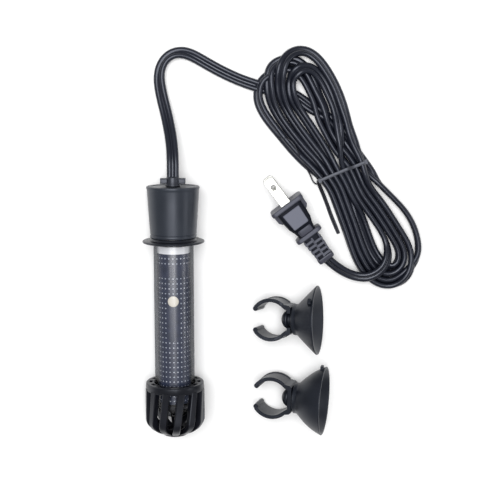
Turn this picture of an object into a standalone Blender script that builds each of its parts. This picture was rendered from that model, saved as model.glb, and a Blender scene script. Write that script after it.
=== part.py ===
"""Submersible aquarium heater, lying on a table with its two clips and its mains cord.

+Z is up and the table is at Z = 0. The heater lies along Y, its cord end at +Y. The origin is
under the middle of the heater and its two suction clips, the cord and the plug left out.
Metres throughout. MM turns a size given in millimetres into metres.
"""
import math

import bmesh
import bpy
from mathutils import Matrix, Vector

MM = 0.001
GAP = 0.3 * MM          # air left between two pieces that touch

# ---- driving dimensions -------------------------------------------------------------------
AXIS_X = -37.6 * MM     # the heater's centreline
AXIS_Z = 18.0 * MM      # it rests on the rim of its flange
HEATER_Y = 70.4 * MM    # distances along the heater are measured from here

TUBE_R = 11.6 * MM
TUBE_WALL = 1.3 * MM
TUBE_MOUTH = 12.0 * MM
TUBE_END = 135.0 * MM
TUBE_DOME = 9.0 * MM

CAP_TOP_R = 15.2 * MM
CAP_END_R = 13.3 * MM
CAP_START = -1.8 * MM   # outer face of the lid
CAP_END = 27.8 * MM
LID_R = 13.8 * MM
LID_THICK = 1.9 * MM

FLANGE_R = 18.0 * MM
FLANGE_AT = 30.2 * MM

SLEEVE_R = 9.6 * MM
SLEEVE_START = 32.5 * MM
SLEEVE_END = 125.5 * MM
WINDOW_AT = 64.0 * MM
WINDOW_R = 3.45 * MM

GUARD_START = 113.7 * MM
GUARD_END = 145.7 * MM
GUARD_R = 17.4 * MM
GUARD_RIBS = 12
GUARD_TWIST = math.radians(12)

CORD_TUBE_R = 2.7 * MM

CUP_RIM_R = 20.3 * MM
CLIP_BAND = 14.0 * MM
CLIP_WALL = 2.2 * MM
CLIP_INNER_R = 10.5 * MM
CLIP_REACH = 11.2 * MM    # from the middle of the plate to the middle of the C

# The two clip sets: where the middle of the clip's back plate is, how the stud leans up and
# turns in plan, how much less the cup's rim leans, and how deep the cup is.
CLIP_SETS = {
    "upper": {
        "plate": Vector((31.4, -6.9, 15.4)) * MM, "lean": math.radians(20.5),
        "yaw": math.radians(2.0), "rim_lean": math.radians(14.0), "depth": 14.2 * MM,
        "belly": 0.0, "roll": math.radians(-6.0), "slot_up": True, "tab_turn": math.radians(47),
    },
    "lower": {
        "plate": Vector((31.9, -54.6, 14.5)) * MM, "lean": math.radians(18.6),
        "yaw": math.radians(-2.0), "rim_lean": math.radians(14.0), "depth": 18.0 * MM,
        "belly": 0.3, "roll": 0.0, "slot_up": False, "tab_turn": math.radians(4),
    },
}

PLUG_FACE = Vector((27.3, 61.5, 10.6)) * MM
PLUG_TURN = math.radians(-53.2)     # from +X to the way the cord leaves, in plan
PLUG_LENGTH = 42.0 * MM
BLADE_OUT = 17.9 * MM
BLADE_IN = 9.0 * MM
BLADE_APART = 12.7 * MM
BLADE_WIDE = 6.35 * MM
BLADE_THICK = 1.5 * MM
BLADE_HOLE_R = 1.6 * MM
BLADE_HOLE_AT = 11.9 * MM           # from the face

# Route of the loose stretches of cord and outline of the hank, chosen by hand, in millimetres.
EXIT_ROUTE = [
    (-37.6, 77.45, 18.0), (-37.6, 87.0, 16.9), (-38.4, 97.2, 12.5), (-41.1, 111.0, 7.0),
    (-44.2, 123.3, 4.2), (-45.9, 134.5, 3.4), (-43.8, 142.5, 3.2), (-39.0, 147.3, 3.2),
    (-33.0, 148.6, 3.2), (-27.0, 147.0, 3.2), (-18.5, 142.2, 3.2), (-9.5, 137.4, 3.2),
    (-0.6, 133.4, 3.2), (6.3, 130.9, 3.2),
]
TAIL_ROUTE = [
    (52.7, 27.5, 10.6), (54.6, 25.0, 10.6), (57.8, 21.8, 10.4), (62.2, 19.0, 10.2),
    (66.2, 17.3, 10.0),
]
HANK_OUTLINE = [
    (11.0, 133.6), (7.6, 128.2), (8.2, 120.2), (13.6, 108.2), (23.0, 95.4), (34.0, 84.4),
    (43.0, 75.2), (48.6, 68.4), (52.6, 58.0), (57.6, 43.6), (61.6, 33.0), (67.2, 22.4),
    (74.2, 13.0), (84.6, 8.2), (95.4, 9.4), (104.4, 16.2), (110.4, 26.2), (111.6, 37.0),
    (107.2, 49.4), (98.6, 61.8), (87.4, 73.2), (78.2, 84.2), (72.0, 93.6), (68.4, 104.6),
    (64.4, 119.4), (58.6, 133.2), (51.6, 145.2), (44.0, 152.6), (35.6, 154.6), (27.4, 152.4),
    (20.4, 147.0), (14.6, 139.6),
]
HANK_LOW = 1.5 * MM
HANK_HIGH = 13.5 * MM
TIE_MIDDLE = Vector((60.4, 79.6, 0.0)) * MM
TIE_TURN = math.radians(23.0)
TIE_SPAN = 40.0 * MM


# ---- materials ----------------------------------------------------------------------------
def material(name, colour, roughness, metallic=0.0, alpha=1.0):
    made = bpy.data.materials.new(name)
    made.use_nodes = True
    shader = made.node_tree.nodes["Principled BSDF"]
    shader.inputs["Base Color"].default_value = (*colour, 1.0)
    shader.inputs["Roughness"].default_value = roughness
    shader.inputs["Metallic"].default_value = metallic
    shader.inputs["Alpha"].default_value = alpha
    made.diffuse_color = (*colour, alpha)
    return made


# ---- building blocks ----------------------------------------------------------------------
def finish(name, bm, look, parent=None, smooth=40):
    """Turn a bmesh into a named object with its faces pointing out."""
    bmesh.ops.remove_doubles(bm, verts=bm.verts, dist=1e-6)
    bmesh.ops.recalc_face_normals(bm, faces=bm.faces)
    mesh = bpy.data.meshes.new(name)
    bm.to_mesh(mesh)
    bm.free()
    mesh.shade_smooth()
    mesh.set_sharp_from_angle(angle=math.radians(smooth))
    piece = bpy.data.objects.new(name, mesh)
    bpy.context.scene.collection.objects.link(piece)
    piece.data.materials.append(look)
    piece.parent = parent
    return piece


def lathe(profile, sides, closed):
    """Spin (radius, distance along Z) points about Z. A closed profile makes a ring."""
    bm = bmesh.new()
    verts = [bm.verts.new((r, 0.0, z)) for r, z in profile]
    pairs = list(zip(verts, verts[1:]))
    if closed:
        pairs.append((verts[-1], verts[0]))
    edges = [bm.edges.new(pair) for pair in pairs]
    bmesh.ops.spin(
        bm, geom=verts + edges, cent=(0, 0, 0), axis=(0, 0, 1),
        angle=2 * math.pi, steps=sides, use_merge=True,
    )
    return bm


def turned(name, profile, look, parent, sides=32, closed=True, smooth=40):
    return finish(name, lathe(profile, sides, closed), look, parent, smooth)


def box_mesh(size, centre=(0, 0, 0)):
    bm = bmesh.new()
    bmesh.ops.create_cube(bm, size=1.0)
    bmesh.ops.scale(bm, vec=size, verts=bm.verts)
    bmesh.ops.translate(bm, vec=centre, verts=bm.verts)
    return bm


def rod_mesh(radius, length, middle, across=False, sides=16):
    """A round rod along Z, or along Y when it lies across the heater."""
    bm = bmesh.new()
    bmesh.ops.create_cone(
        bm, cap_ends=True, segments=sides, radius1=radius, radius2=radius, depth=length,
    )
    if across:
        bmesh.ops.rotate(bm, cent=(0, 0, 0), matrix=Matrix.Rotation(-math.pi / 2, 3, "X"),
                         verts=bm.verts)
    bmesh.ops.translate(bm, vec=middle, verts=bm.verts)
    return bm


def merged(parts):
    """Several separate closed shapes in one bmesh, for a cutter."""
    bm = bmesh.new()
    for part in parts:
        spare = bpy.data.meshes.new("spare")
        part.to_mesh(spare)
        part.free()
        bm.from_mesh(spare)
        bpy.data.meshes.remove(spare)
    return bm


def prism(outline, low, high):
    """Extrude a flat outline of (x, y) points from one height to another."""
    bm = bmesh.new()
    base = bm.faces.new([bm.verts.new((x, y, low)) for x, y in outline])
    grown = bmesh.ops.extrude_face_region(bm, geom=[base])
    top = [v for v in grown["geom"] if isinstance(v, bmesh.types.BMVert)]
    bmesh.ops.translate(bm, vec=(0, 0, high - low), verts=top)
    return bm


def helper(name, bm, parent):
    """A cutter or an addition: used by a Boolean and left out of the model."""
    bmesh.ops.triangulate(bm, faces=bm.faces)
    guide = finish(name, bm, MATERIALS["guide"], parent)
    guide.hide_render = True
    guide.display_type = "WIRE"
    return guide


def boolean(piece, other, operation):
    """Both sides are triangles, so every cut face is flat and comes out the same each time."""
    piece.modifiers.new("Triangles", "TRIANGULATE")
    step = piece.modifiers.new(operation.title(), "BOOLEAN")
    step.operation = operation
    step.object = other
    step.solver = "EXACT"


def rounded(piece, width, segments=2, limit=50):
    step = piece.modifiers.new("Bevel", "BEVEL")
    step.width = width
    step.segments = segments
    step.limit_method = "ANGLE"
    step.angle_limit = math.radians(limit)


def smooth_path(points, spacing):
    """Points at an even spacing on one smooth curve through the given points."""
    knots = [Vector(p) for p in points]
    ends = [knots[0] * 2 - knots[1]] + knots + [knots[-1] * 2 - knots[-2]]
    fine = []
    for a, b, c, d in zip(ends, ends[1:], ends[2:], ends[3:]):
        for step in range(24):
            t = step / 24
            fine.append(0.5 * (2 * b + (c - a) * t + (2 * a - 5 * b + 4 * c - d) * t * t
                               + (3 * b - a - 3 * c + d) * t ** 3))
    fine.append(knots[-1])
    lengths = [0.0]
    for a, b in zip(fine, fine[1:]):
        lengths.append(lengths[-1] + (b - a).length)
    count = max(2, round(lengths[-1] / spacing))
    path, at = [], 0
    for k in range(count + 1):
        goal = lengths[-1] * k / count
        while at < len(fine) - 2 and lengths[at + 1] < goal:
            at += 1
        share = (goal - lengths[at]) / max(lengths[at + 1] - lengths[at], 1e-12)
        path.append(fine[at].lerp(fine[at + 1], min(share, 1.0)))
    return path


def tube_along(name, points, radius, look, resolution=2, parent=None):
    curve = bpy.data.curves.new(name, "CURVE")
    curve.dimensions = "3D"
    curve.bevel_depth = radius
    curve.bevel_resolution = resolution
    curve.use_fill_caps = True
    spline = curve.splines.new("POLY")
    spline.points.add(len(points) - 1)
    for knot, point in zip(spline.points, points):
        knot.co = (*point, 1.0)
    piece = bpy.data.objects.new(name, curve)
    bpy.context.scene.collection.objects.link(piece)
    piece.data.materials.append(look)
    piece.parent = parent
    return piece


def empty(name, place, turn=(0, 0, 0), parent=None):
    guide = bpy.data.objects.new(name, None)
    guide.location = place
    guide.rotation_euler = turn
    guide.parent = parent
    bpy.context.scene.collection.objects.link(guide)
    return guide


# ---- the heater's housing: X is sideways, Y is up and Z runs from the lid to the hot end -----
def make_cap(heater):
    bore = TUBE_R + 0.35 * MM
    seat = CAP_START + LID_THICK + GAP
    groove = (18.0 * MM, 20.6 * MM)
    slope = (CAP_END_R - CAP_TOP_R) / (CAP_END - CAP_START)
    lip = 26.2 * MM
    turned("cap_shell", [
        (CAP_TOP_R - 0.5 * MM, CAP_START), (CAP_TOP_R, CAP_START + 0.5 * MM),
        (CAP_TOP_R + slope * (lip - CAP_START), lip), (CAP_END_R + 0.25 * MM, lip + 0.3 * MM),
        (CAP_END_R + 0.25 * MM, CAP_END),
        (bore, CAP_END), (bore, groove[1]), (13.4 * MM, groove[1]), (13.4 * MM, groove[0]),
        (bore, groove[0]), (bore, 11.0 * MM), (12.6 * MM, 11.0 * MM), (12.6 * MM, seat),
        (LID_R + GAP, seat), (LID_R + GAP, CAP_START),
    ], MATERIALS["cap"], heater, sides=32)
    turned("cap_lid", [
        (4.3 * MM, CAP_START), (LID_R - 0.3 * MM, CAP_START), (LID_R, CAP_START + 0.3 * MM),
        (LID_R, CAP_START + LID_THICK), (4.3 * MM, CAP_START + LID_THICK),
    ], MATERIALS["cap"], heater, sides=32)
    section = 0.6 * MM
    middle = 0.5 * (groove[0] + groove[1])
    ring = [(12.55 * MM + section * math.cos(a), middle + section * math.sin(a))
            for a in (math.tau * k / 6 for k in range(6))]
    turned("seal_ring", ring, MATERIALS["rubber"], heater, sides=24)


def make_gland(heater):
    top, under = CAP_START, CAP_START + LID_THICK + GAP
    gland = turned("cord_gland", [
        (0.0, top - 4.9 * MM), (3.1 * MM, top - 4.9 * MM), (3.7 * MM, top - 4.3 * MM),
        (3.9 * MM, top - 1.4 * MM), (5.2 * MM, top - 1.0 * MM), (5.2 * MM, top - GAP),
        (4.0 * MM, top - GAP), (4.0 * MM, under), (6.2 * MM, under), (6.2 * MM, 4.0 * MM),
        (0.0, 4.0 * MM),
    ], MATERIALS["cord"], heater, sides=20, closed=False)
    lugs = helper("gland_lugs", box_mesh((14.4 * MM, 4.6 * MM, 3.1 * MM), (0, 0, top - 3.0 * MM)), heater)
    rounded(lugs, 0.6 * MM, 1)
    boolean(gland, lugs, "UNION")


def make_flange(heater):
    inner = TUBE_R + GAP
    z = FLANGE_AT
    turned("flange_collar", [
        (inner, z - 2.0 * MM), (13.0 * MM, z - 2.0 * MM), (13.4 * MM, z - 0.9 * MM),
        (FLANGE_R - 0.5 * MM, z - 0.6 * MM), (FLANGE_R, z), (FLANGE_R - 0.5 * MM, z + 0.8 * MM),
        (13.6 * MM, z + 0.5 * MM), (13.2 * MM, z + 1.4 * MM), (inner, z + 1.4 * MM),
    ], MATERIALS["cap"], heater, sides=36)


def make_tube(heater):
    inner = TUBE_R - TUBE_WALL
    outside = [(TUBE_R * math.cos(a), TUBE_END - TUBE_DOME * (1 - math.sin(a)))
               for a in (math.pi / 2 * k / 4 for k in range(5))]
    inside = [(inner * math.cos(a), TUBE_END - TUBE_WALL - (TUBE_DOME - 0.6 * MM) * (1 - math.sin(a)))
              for a in (math.pi / 2 * k / 4 for k in range(5))]
    turned("glass_tube", [
        (inner, TUBE_MOUTH), (TUBE_R, TUBE_MOUTH), *outside[:-1], (0.0, TUBE_END),
    ] + [(0.0, TUBE_END - TUBE_WALL)] + inside[-2::-1], MATERIALS["glass"], heater, sides=28,
        closed=True)


def make_seal_plug(heater):
    plug = turned("seal_plug", [
        (0.0, 9.4 * MM), (11.4 * MM, 9.4 * MM), (11.4 * MM, TUBE_MOUTH - GAP),
        (9.9 * MM, TUBE_MOUTH - GAP), (9.9 * MM, 21.0 * MM), (9.3 * MM, 22.0 * MM),
        (0.0, 22.0 * MM),
    ], MATERIALS["rubber"], heater, sides=24, closed=False)
    holes = helper("seal_plug_holes", merged([
        rod_mesh(1.2 * MM, 20 * MM, (side * LEAD_X, 0, 16 * MM)) for side in (-1, 1)
    ]), heater)
    boolean(plug, holes, "DIFFERENCE")


def make_sleeve(heater):
    inner = SLEEVE_R - 0.3 * MM
    sleeve = turned("label_sleeve", [
        (inner, SLEEVE_START), (SLEEVE_R, SLEEVE_START), (SLEEVE_R, SLEEVE_END),
        (inner, SLEEVE_END),
    ], MATERIALS["label"], heater, sides=26)      # a flat facet lies under the window
    cut = helper("window_cut", rod_mesh(WINDOW_R, 6 * MM, (0, SLEEVE_R, WINDOW_AT), True), heater)
    boolean(sleeve, cut, "DIFFERENCE")
    seat = empty("lens_seat", (0, 8.0 * MM, WINDOW_AT), (-math.pi / 2, 0, 0), heater)
    turned("indicator_lens", [
        (0.0, 0.0), (WINDOW_R - GAP, 0.0), (WINDOW_R - GAP, 1.3 * MM), (2.2 * MM, 1.7 * MM),
        (0.0, 1.9 * MM),
    ], MATERIALS["lens"], seat, sides=16, closed=False)


# ---- the control board ----------------------------------------------------------------------
BOARD_THICK = 1.4 * MM
LEAD_X = 3.2 * MM


def on_board(size, side, z):
    """A box that stands on one side of the board, with the air gap under it."""
    height = side * (BOARD_THICK / 2 + GAP + size[1] / 2)
    return box_mesh(size, (0, height, z))


def make_board(heater):
    board = finish("circuit_board", box_mesh((15 * MM, BOARD_THICK, 44 * MM), (0, 0, 56 * MM)),
                   MATERIALS["board"], heater)
    rounded(board, 0.2 * MM, 1)
    triac = finish("triac", on_board((8 * MM, 3.6 * MM, 8.6 * MM), 1, 72.6 * MM),
                   MATERIALS["component"], heater)
    rounded(triac, 0.3 * MM, 1)
    chip = finish("control_chip", on_board((6.2 * MM, 3.0 * MM, 9.4 * MM), 1, 43 * MM),
                  MATERIALS["component"], heater)
    rounded(chip, 0.3 * MM, 1)
    film = finish("film_capacitor", on_board((10 * MM, 5.4 * MM, 13 * MM), -1, 44 * MM),
                  MATERIALS["film"], heater)
    rounded(film, 0.5 * MM, 1)
    can_y = BOARD_THICK / 2 + GAP + 2.5 * MM
    can = finish("smoothing_capacitor", rod_mesh(2.5 * MM, 9 * MM, (0, can_y, 54.6 * MM)),
                 MATERIALS["can"], heater)
    rounded(can, 0.4 * MM, 1)
    varistor_y = -(BOARD_THICK / 2 + GAP + 1.3 * MM)
    varistor = finish("varistor", rod_mesh(4.0 * MM, 2.6 * MM, (0, varistor_y, 57 * MM), True, 20),
                      MATERIALS["varistor"], heater)
    rounded(varistor, 0.5 * MM, 1)
    lamp_seat = empty("lamp_seat", (0, BOARD_THICK / 2 + GAP, WINDOW_AT), (-math.pi / 2, 0, 0), heater)
    turned("indicator_lamp", [
        (0.0, 0.0), (1.9 * MM, 0.0), (1.9 * MM, 0.9 * MM), (1.5 * MM, 0.9 * MM),
        (1.5 * MM, 3.6 * MM), (1.1 * MM, 4.6 * MM), (0.0, 5.1 * MM),
    ], MATERIALS["lamp"], lamp_seat, sides=16, closed=False)
    thermistor = finish("thermistor", rod_mesh(1.2 * MM, 5 * MM, (5.8 * MM, 3.0 * MM, 75 * MM)),
                        MATERIALS["varistor"], heater)
    rounded(thermistor, 0.5 * MM, 1)


def make_leads(heater):
    for side, name in ((-1, "lead_line"), (1, "lead_neutral")):
        x = side * LEAD_X
        path = smooth_path([(x, 0, 4.4 * MM), (x, 0, 14 * MM), (x, 0, 24 * MM),
                            (x * 1.2, 0, 29 * MM), (x * 1.3, 0, 33.6 * MM)], 3 * MM)
        tube_along(name, path, 0.75 * MM, MATERIALS["wire_" + name[5:]], 2, heater)


# ---- the element ----------------------------------------------------------------------------
CORE_START = 91.6 * MM
CORE_END = 126.6 * MM
CORE_R = 5.0 * MM
COIL_WIRE_R = 0.45 * MM
RETURN_BORE = 1.3 * MM
FEED_X = -7.4 * MM
DISC_R = 8.9 * MM


def make_element(heater):
    mica = turned("mica_disc", [
        (RETURN_BORE, 81.4 * MM), (DISC_R, 81.4 * MM), (DISC_R, 82.4 * MM),
        (RETURN_BORE, 82.4 * MM),
    ], MATERIALS["mica"], heater, sides=24)
    upper = turned("core_disc_upper", [
        (RETURN_BORE, 88.8 * MM), (DISC_R, 88.8 * MM), (DISC_R, CORE_START - GAP),
        (RETURN_BORE, CORE_START - GAP),
    ], MATERIALS["ceramic"], heater, sides=24)
    feed_hole = helper("feed_holes", rod_mesh(0.95 * MM, 30 * MM, (FEED_X, 0, 86 * MM)), heater)
    for disc in (mica, upper):
        boolean(disc, feed_hole, "DIFFERENCE")
    turned("ceramic_core", [
        (RETURN_BORE, CORE_START), (CORE_R, CORE_START), (CORE_R, CORE_END),
        (RETURN_BORE, CORE_END),
    ], MATERIALS["ceramic"], heater, sides=24)
    turned("core_disc_lower", [
        (RETURN_BORE, CORE_END + GAP), (8.6 * MM, CORE_END + GAP), (8.2 * MM, 129.0 * MM),
        (RETURN_BORE, 129.0 * MM),
    ], MATERIALS["ceramic"], heater, sides=24)
    turned("base_cushion", [
        (0.0, 129.9 * MM), (5.2 * MM, 129.9 * MM), (4.6 * MM, 131.6 * MM), (2.6 * MM, 132.6 * MM),
        (0.0, 132.9 * MM),
    ], MATERIALS["wool"], heater, sides=16, closed=False)

    turns, around = 9, 10
    radius = CORE_R + GAP + COIL_WIRE_R
    start, end = CORE_START + 2.0 * MM, CORE_END - 2.0 * MM
    coil = []
    for k in range(turns * around + 1):
        share = k / (turns * around)
        angle = math.pi + share * turns * math.tau
        coil.append((radius * math.cos(angle), radius * math.sin(angle), start + (end - start) * share))
    tube_along("heating_coil", coil, COIL_WIRE_R, MATERIALS["nichrome"], 1, heater)

    feed = [(FEED_X, 0, 78.6 * MM), (FEED_X, 0, 84 * MM), (FEED_X, 0, 93.6 * MM)]
    tube_along("element_lead_feed", feed, 0.55 * MM, MATERIALS["nichrome"], 1, heater)
    back = [(0, 0, 78.6 * MM), (0, 0, 100 * MM), (0, 0, 129.5 * MM)]
    tube_along("element_lead_return", back, 0.6 * MM, MATERIALS["nichrome"], 1, heater)
    fuse = finish("thermal_fuse", rod_mesh(1.6 * MM, 5.4 * MM, (4.4 * MM, 0, 85.6 * MM)),
                  MATERIALS["fuse"], heater)
    rounded(fuse, 0.4 * MM, 1)


# ---- the guard round the hot end ------------------------------------------------------------
def guard_slot(angle, low, high, inner, outer, half_width, steps=3):
    """One gap between two ribs: a bar that winds round the axis as it runs along it."""
    bm = bmesh.new()
    rings = []
    for k in range(steps + 1):
        share = k / steps
        turn = angle + GUARD_TWIST * share
        z = low + (high - low) * share
        corners = [(inner, -half_width), (outer, -half_width), (outer, half_width), (inner, half_width)]
        rings.append([
            bm.verts.new((r * math.cos(turn + w), r * math.sin(turn + w), z)) for r, w in corners
        ])
    bm.faces.new(rings[0])
    bm.faces.new(reversed(rings[-1]))
    for one, two in zip(rings, rings[1:]):
        for i in range(4):
            j = (i + 1) % 4
            bm.faces.new((one[j], one[i], two[i], two[j]))
    return bm


def make_guard(heater):
    collar_end = GUARD_START + 4.2 * MM
    wall = 2.0 * MM
    dome = 10.0 * MM
    outer, inner = [], []
    for k in range(4):
        a = math.radians(72) * k / 3
        outer.append((GUARD_R * math.cos(a), GUARD_END - dome + dome * math.sin(a)))
        inner.append(((GUARD_R - wall) * math.cos(a), GUARD_END - dome + (dome - wall) * math.sin(a)))
    guard = turned("guard_basket", [
        (TUBE_R + 0.5 * MM, GUARD_START), (GUARD_R - 0.4 * MM, GUARD_START), *outer,
        (3.6 * MM, GUARD_END), (3.6 * MM, GUARD_END - wall), *reversed(inner),
        (GUARD_R - wall, collar_end), (TUBE_R + 0.5 * MM, collar_end),
    ], MATERIALS["guard"], heater, sides=36)
    pitch = math.tau / GUARD_RIBS
    slots = helper("guard_slots", merged([
        guard_slot(pitch * k, collar_end + 0.4 * MM, GUARD_END + 3 * MM, 7.2 * MM, 22 * MM, pitch * 0.29)
        for k in range(GUARD_RIBS)
    ]), heater)
    vents = helper("guard_vents", merged([
        guard_slot(pitch * k, GUARD_START - 2 * MM, collar_end + 1.0 * MM, 13.3 * MM, 15.0 * MM,
                   pitch * 0.22, steps=1)
        for k in range(GUARD_RIBS)
    ]), heater)
    boolean(guard, slots, "DIFFERENCE")
    boolean(guard, vents, "DIFFERENCE")


# ---- a clip and its suction cup: X runs along the stud, from the clip to the cup's rim -------
STUD_R = 3.7 * MM
STUD_HEAD_R = 5.6 * MM
PLATE_THICK = 2.2 * MM
SHOULDER_X = 1.6 * MM       # the cup's shoulder, measured from the middle of the clip's plate
SHOULDER_R = 9.2 * MM


def clip_profile():
    """Half of the C, from the plate's middle out along the arm to its tip and back inside."""
    middle = -CLIP_REACH
    outer_r = CLIP_INNER_R + CLIP_WALL
    first, last = math.radians(48), math.radians(148)
    arc = [first + (last - first) * k / 7 for k in range(8)]
    outer = [(middle + outer_r * math.cos(a), outer_r * math.sin(a)) for a in arc]
    inner = [(middle + CLIP_INNER_R * math.cos(a), CLIP_INNER_R * math.sin(a)) for a in arc]
    plate_edge = 8.7 * MM
    back, front = PLATE_THICK / 2, -PLATE_THICK / 2
    return ([(back, plate_edge - 1.0 * MM), (back - 1.0 * MM, plate_edge)] + outer
            + inner[::-1] + [(front - 1.6 * MM, 6.6 * MM), (front, 5.6 * MM)])


def make_clip(side, place, stand):
    half = clip_profile()
    outline = half + [(x, -y) for x, y in reversed(half)]
    clip = finish("clip_" + side, prism(outline, -CLIP_BAND / 2, CLIP_BAND / 2), MATERIALS["clip"], stand)
    rounded(clip, 0.5 * MM, 1)
    reach = 1 if place["slot_up"] else -1
    width = STUD_R + 0.5 * MM
    notch = [(width * math.cos(a), width * math.sin(a)) for a in
             (math.pi + math.pi * k / 8 for k in range(9))]
    notch += [(width, CLIP_BAND), (-width, CLIP_BAND)]
    bm = prism(notch, -4 * MM, 4 * MM)
    # lie the notch across the plate: its own X becomes Y, its Y becomes Z and its Z becomes X
    turn = Matrix(((0, 0, 1), (1, 0, 0), (0, reach, 0)))
    bmesh.ops.transform(bm, matrix=turn.to_4x4(), verts=bm.verts)
    boolean(clip, helper("clip_notch_" + side, bm, stand), "DIFFERENCE")


def bend(bm, start, length, angle):
    """Lean the mesh over about Y, nothing at start and the whole angle after the length."""
    for v in bm.verts:
        along = v.co.x - start
        if along <= 0:
            continue
        share = min(along / length, 1.0)
        turn = angle * share
        mean = turn / 2
        base = Vector((start + along * math.cos(mean), 0, -along * math.sin(mean)))
        across = Vector((math.sin(turn), 0, math.cos(turn))) * v.co.z
        v.co = base + across + Vector((0, v.co.y, 0))


def make_cup(side, place, stand):
    depth, belly = place["depth"], place["belly"]
    rim = SHOULDER_X + depth
    outside, inside = [], []
    for k in range(4):
        share = k / 3
        swell = belly * math.sin(math.pi * share) * 4.0 * MM
        r = SHOULDER_R + 0.4 * MM + (CUP_RIM_R - SHOULDER_R - 0.4 * MM) * share + swell
        outside.append((r, SHOULDER_X + 2.6 * MM + (depth - 3.2 * MM) * share))
        if k:
            inside.append((r - 1.5 * MM, SHOULDER_X + 4.6 * MM + (depth - 5.2 * MM) * share))
    profile = [
        (0.0, -6.2 * MM), (2.2 * MM, -5.9 * MM), (4.3 * MM, -4.6 * MM), (STUD_HEAD_R, -2.6 * MM),
        (STUD_HEAD_R, -1.7 * MM), (STUD_R, -1.5 * MM), (STUD_R, SHOULDER_X),
        (SHOULDER_R - 0.4 * MM, SHOULDER_X), (SHOULDER_R, SHOULDER_X + 0.4 * MM),
        (SHOULDER_R, SHOULDER_X + 2.4 * MM), *outside,
        (CUP_RIM_R - 0.2 * MM, rim), (CUP_RIM_R - 1.6 * MM, rim), *reversed(inside),
        (0.0, SHOULDER_X + 5.4 * MM),
    ]
    bm = lathe(profile, 24, closed=False)
    bmesh.ops.rotate(bm, cent=(0, 0, 0), matrix=Matrix.Rotation(math.pi / 2, 3, "Y"), verts=bm.verts)
    tab = box_mesh((2.2 * MM, 5.2 * MM, 4.2 * MM), (rim - 2.4 * MM, CUP_RIM_R - 0.8 * MM, 0))
    bmesh.ops.rotate(tab, cent=(0, 0, 0), matrix=Matrix.Rotation(place["tab_turn"], 3, "X"),
                     verts=tab.verts)
    leaned = place["lean"] - place["rim_lean"]
    for shape in (bm, tab):
        bend(shape, SHOULDER_X + 2.0 * MM, depth - 2.0 * MM, leaned)
    cup = finish("suction_cup_" + side, bm, MATERIALS["cup"], stand)
    boolean(cup, helper("cup_tab_" + side, tab, stand), "UNION")


def make_clip_set(side):
    place = CLIP_SETS[side]
    stand = empty("clip_stand_" + side, place["plate"], (0, -place["lean"], place["yaw"]))
    turner = empty("clip_turner_" + side, (0, 0, 0), (place["roll"], 0, 0), stand)
    make_clip(side, place, turner)
    make_cup(side, place, stand)


# ---- the cord, its hank, the tie and the plug -------------------------------------------------
def in_mm(points):
    return [tuple(c * MM for c in p) for p in points]


def make_cord():
    tube_along("cord_exit", smooth_path(in_mm(EXIT_ROUTE), 6 * MM), CORD_TUBE_R, MATERIALS["cord"], 2)
    tube_along("cord_tail", smooth_path(in_mm(TAIL_ROUTE), 5 * MM), CORD_TUBE_R, MATERIALS["cord"], 2)
    outline = smooth_path(in_mm([(x, y, 0) for x, y in HANK_OUTLINE + HANK_OUTLINE[:1]]), 9 * MM)[:-1]
    hank = finish("cord_hank", prism([(p.x, p.y) for p in outline], HANK_LOW, HANK_HIGH),
                  MATERIALS["cord"])
    rounded(hank, 2.5 * MM, 1, 60)


def make_tie():
    """A flat strip right round the hank."""
    turn = Matrix.Translation(TIE_MIDDLE) @ Matrix.Rotation(TIE_TURN, 4, "Z")
    low, high = 0.3 * MM, HANK_HIGH + 1.3 * MM
    wall, width = 0.9 * MM, 3.0 * MM
    bm = box_mesh((TIE_SPAN, width, high - low), (0, 0, (high + low) / 2))
    tie = finish("twist_tie", bm, MATERIALS["tie"])
    tie.matrix_world = turn
    hole = helper("tie_hole", box_mesh((TIE_SPAN - 2 * wall, width * 3, high - low - 2 * wall),
                                       (0, 0, (high + low) / 2)), None)
    hole.matrix_world = turn
    boolean(tie, hole, "DIFFERENCE")


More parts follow.
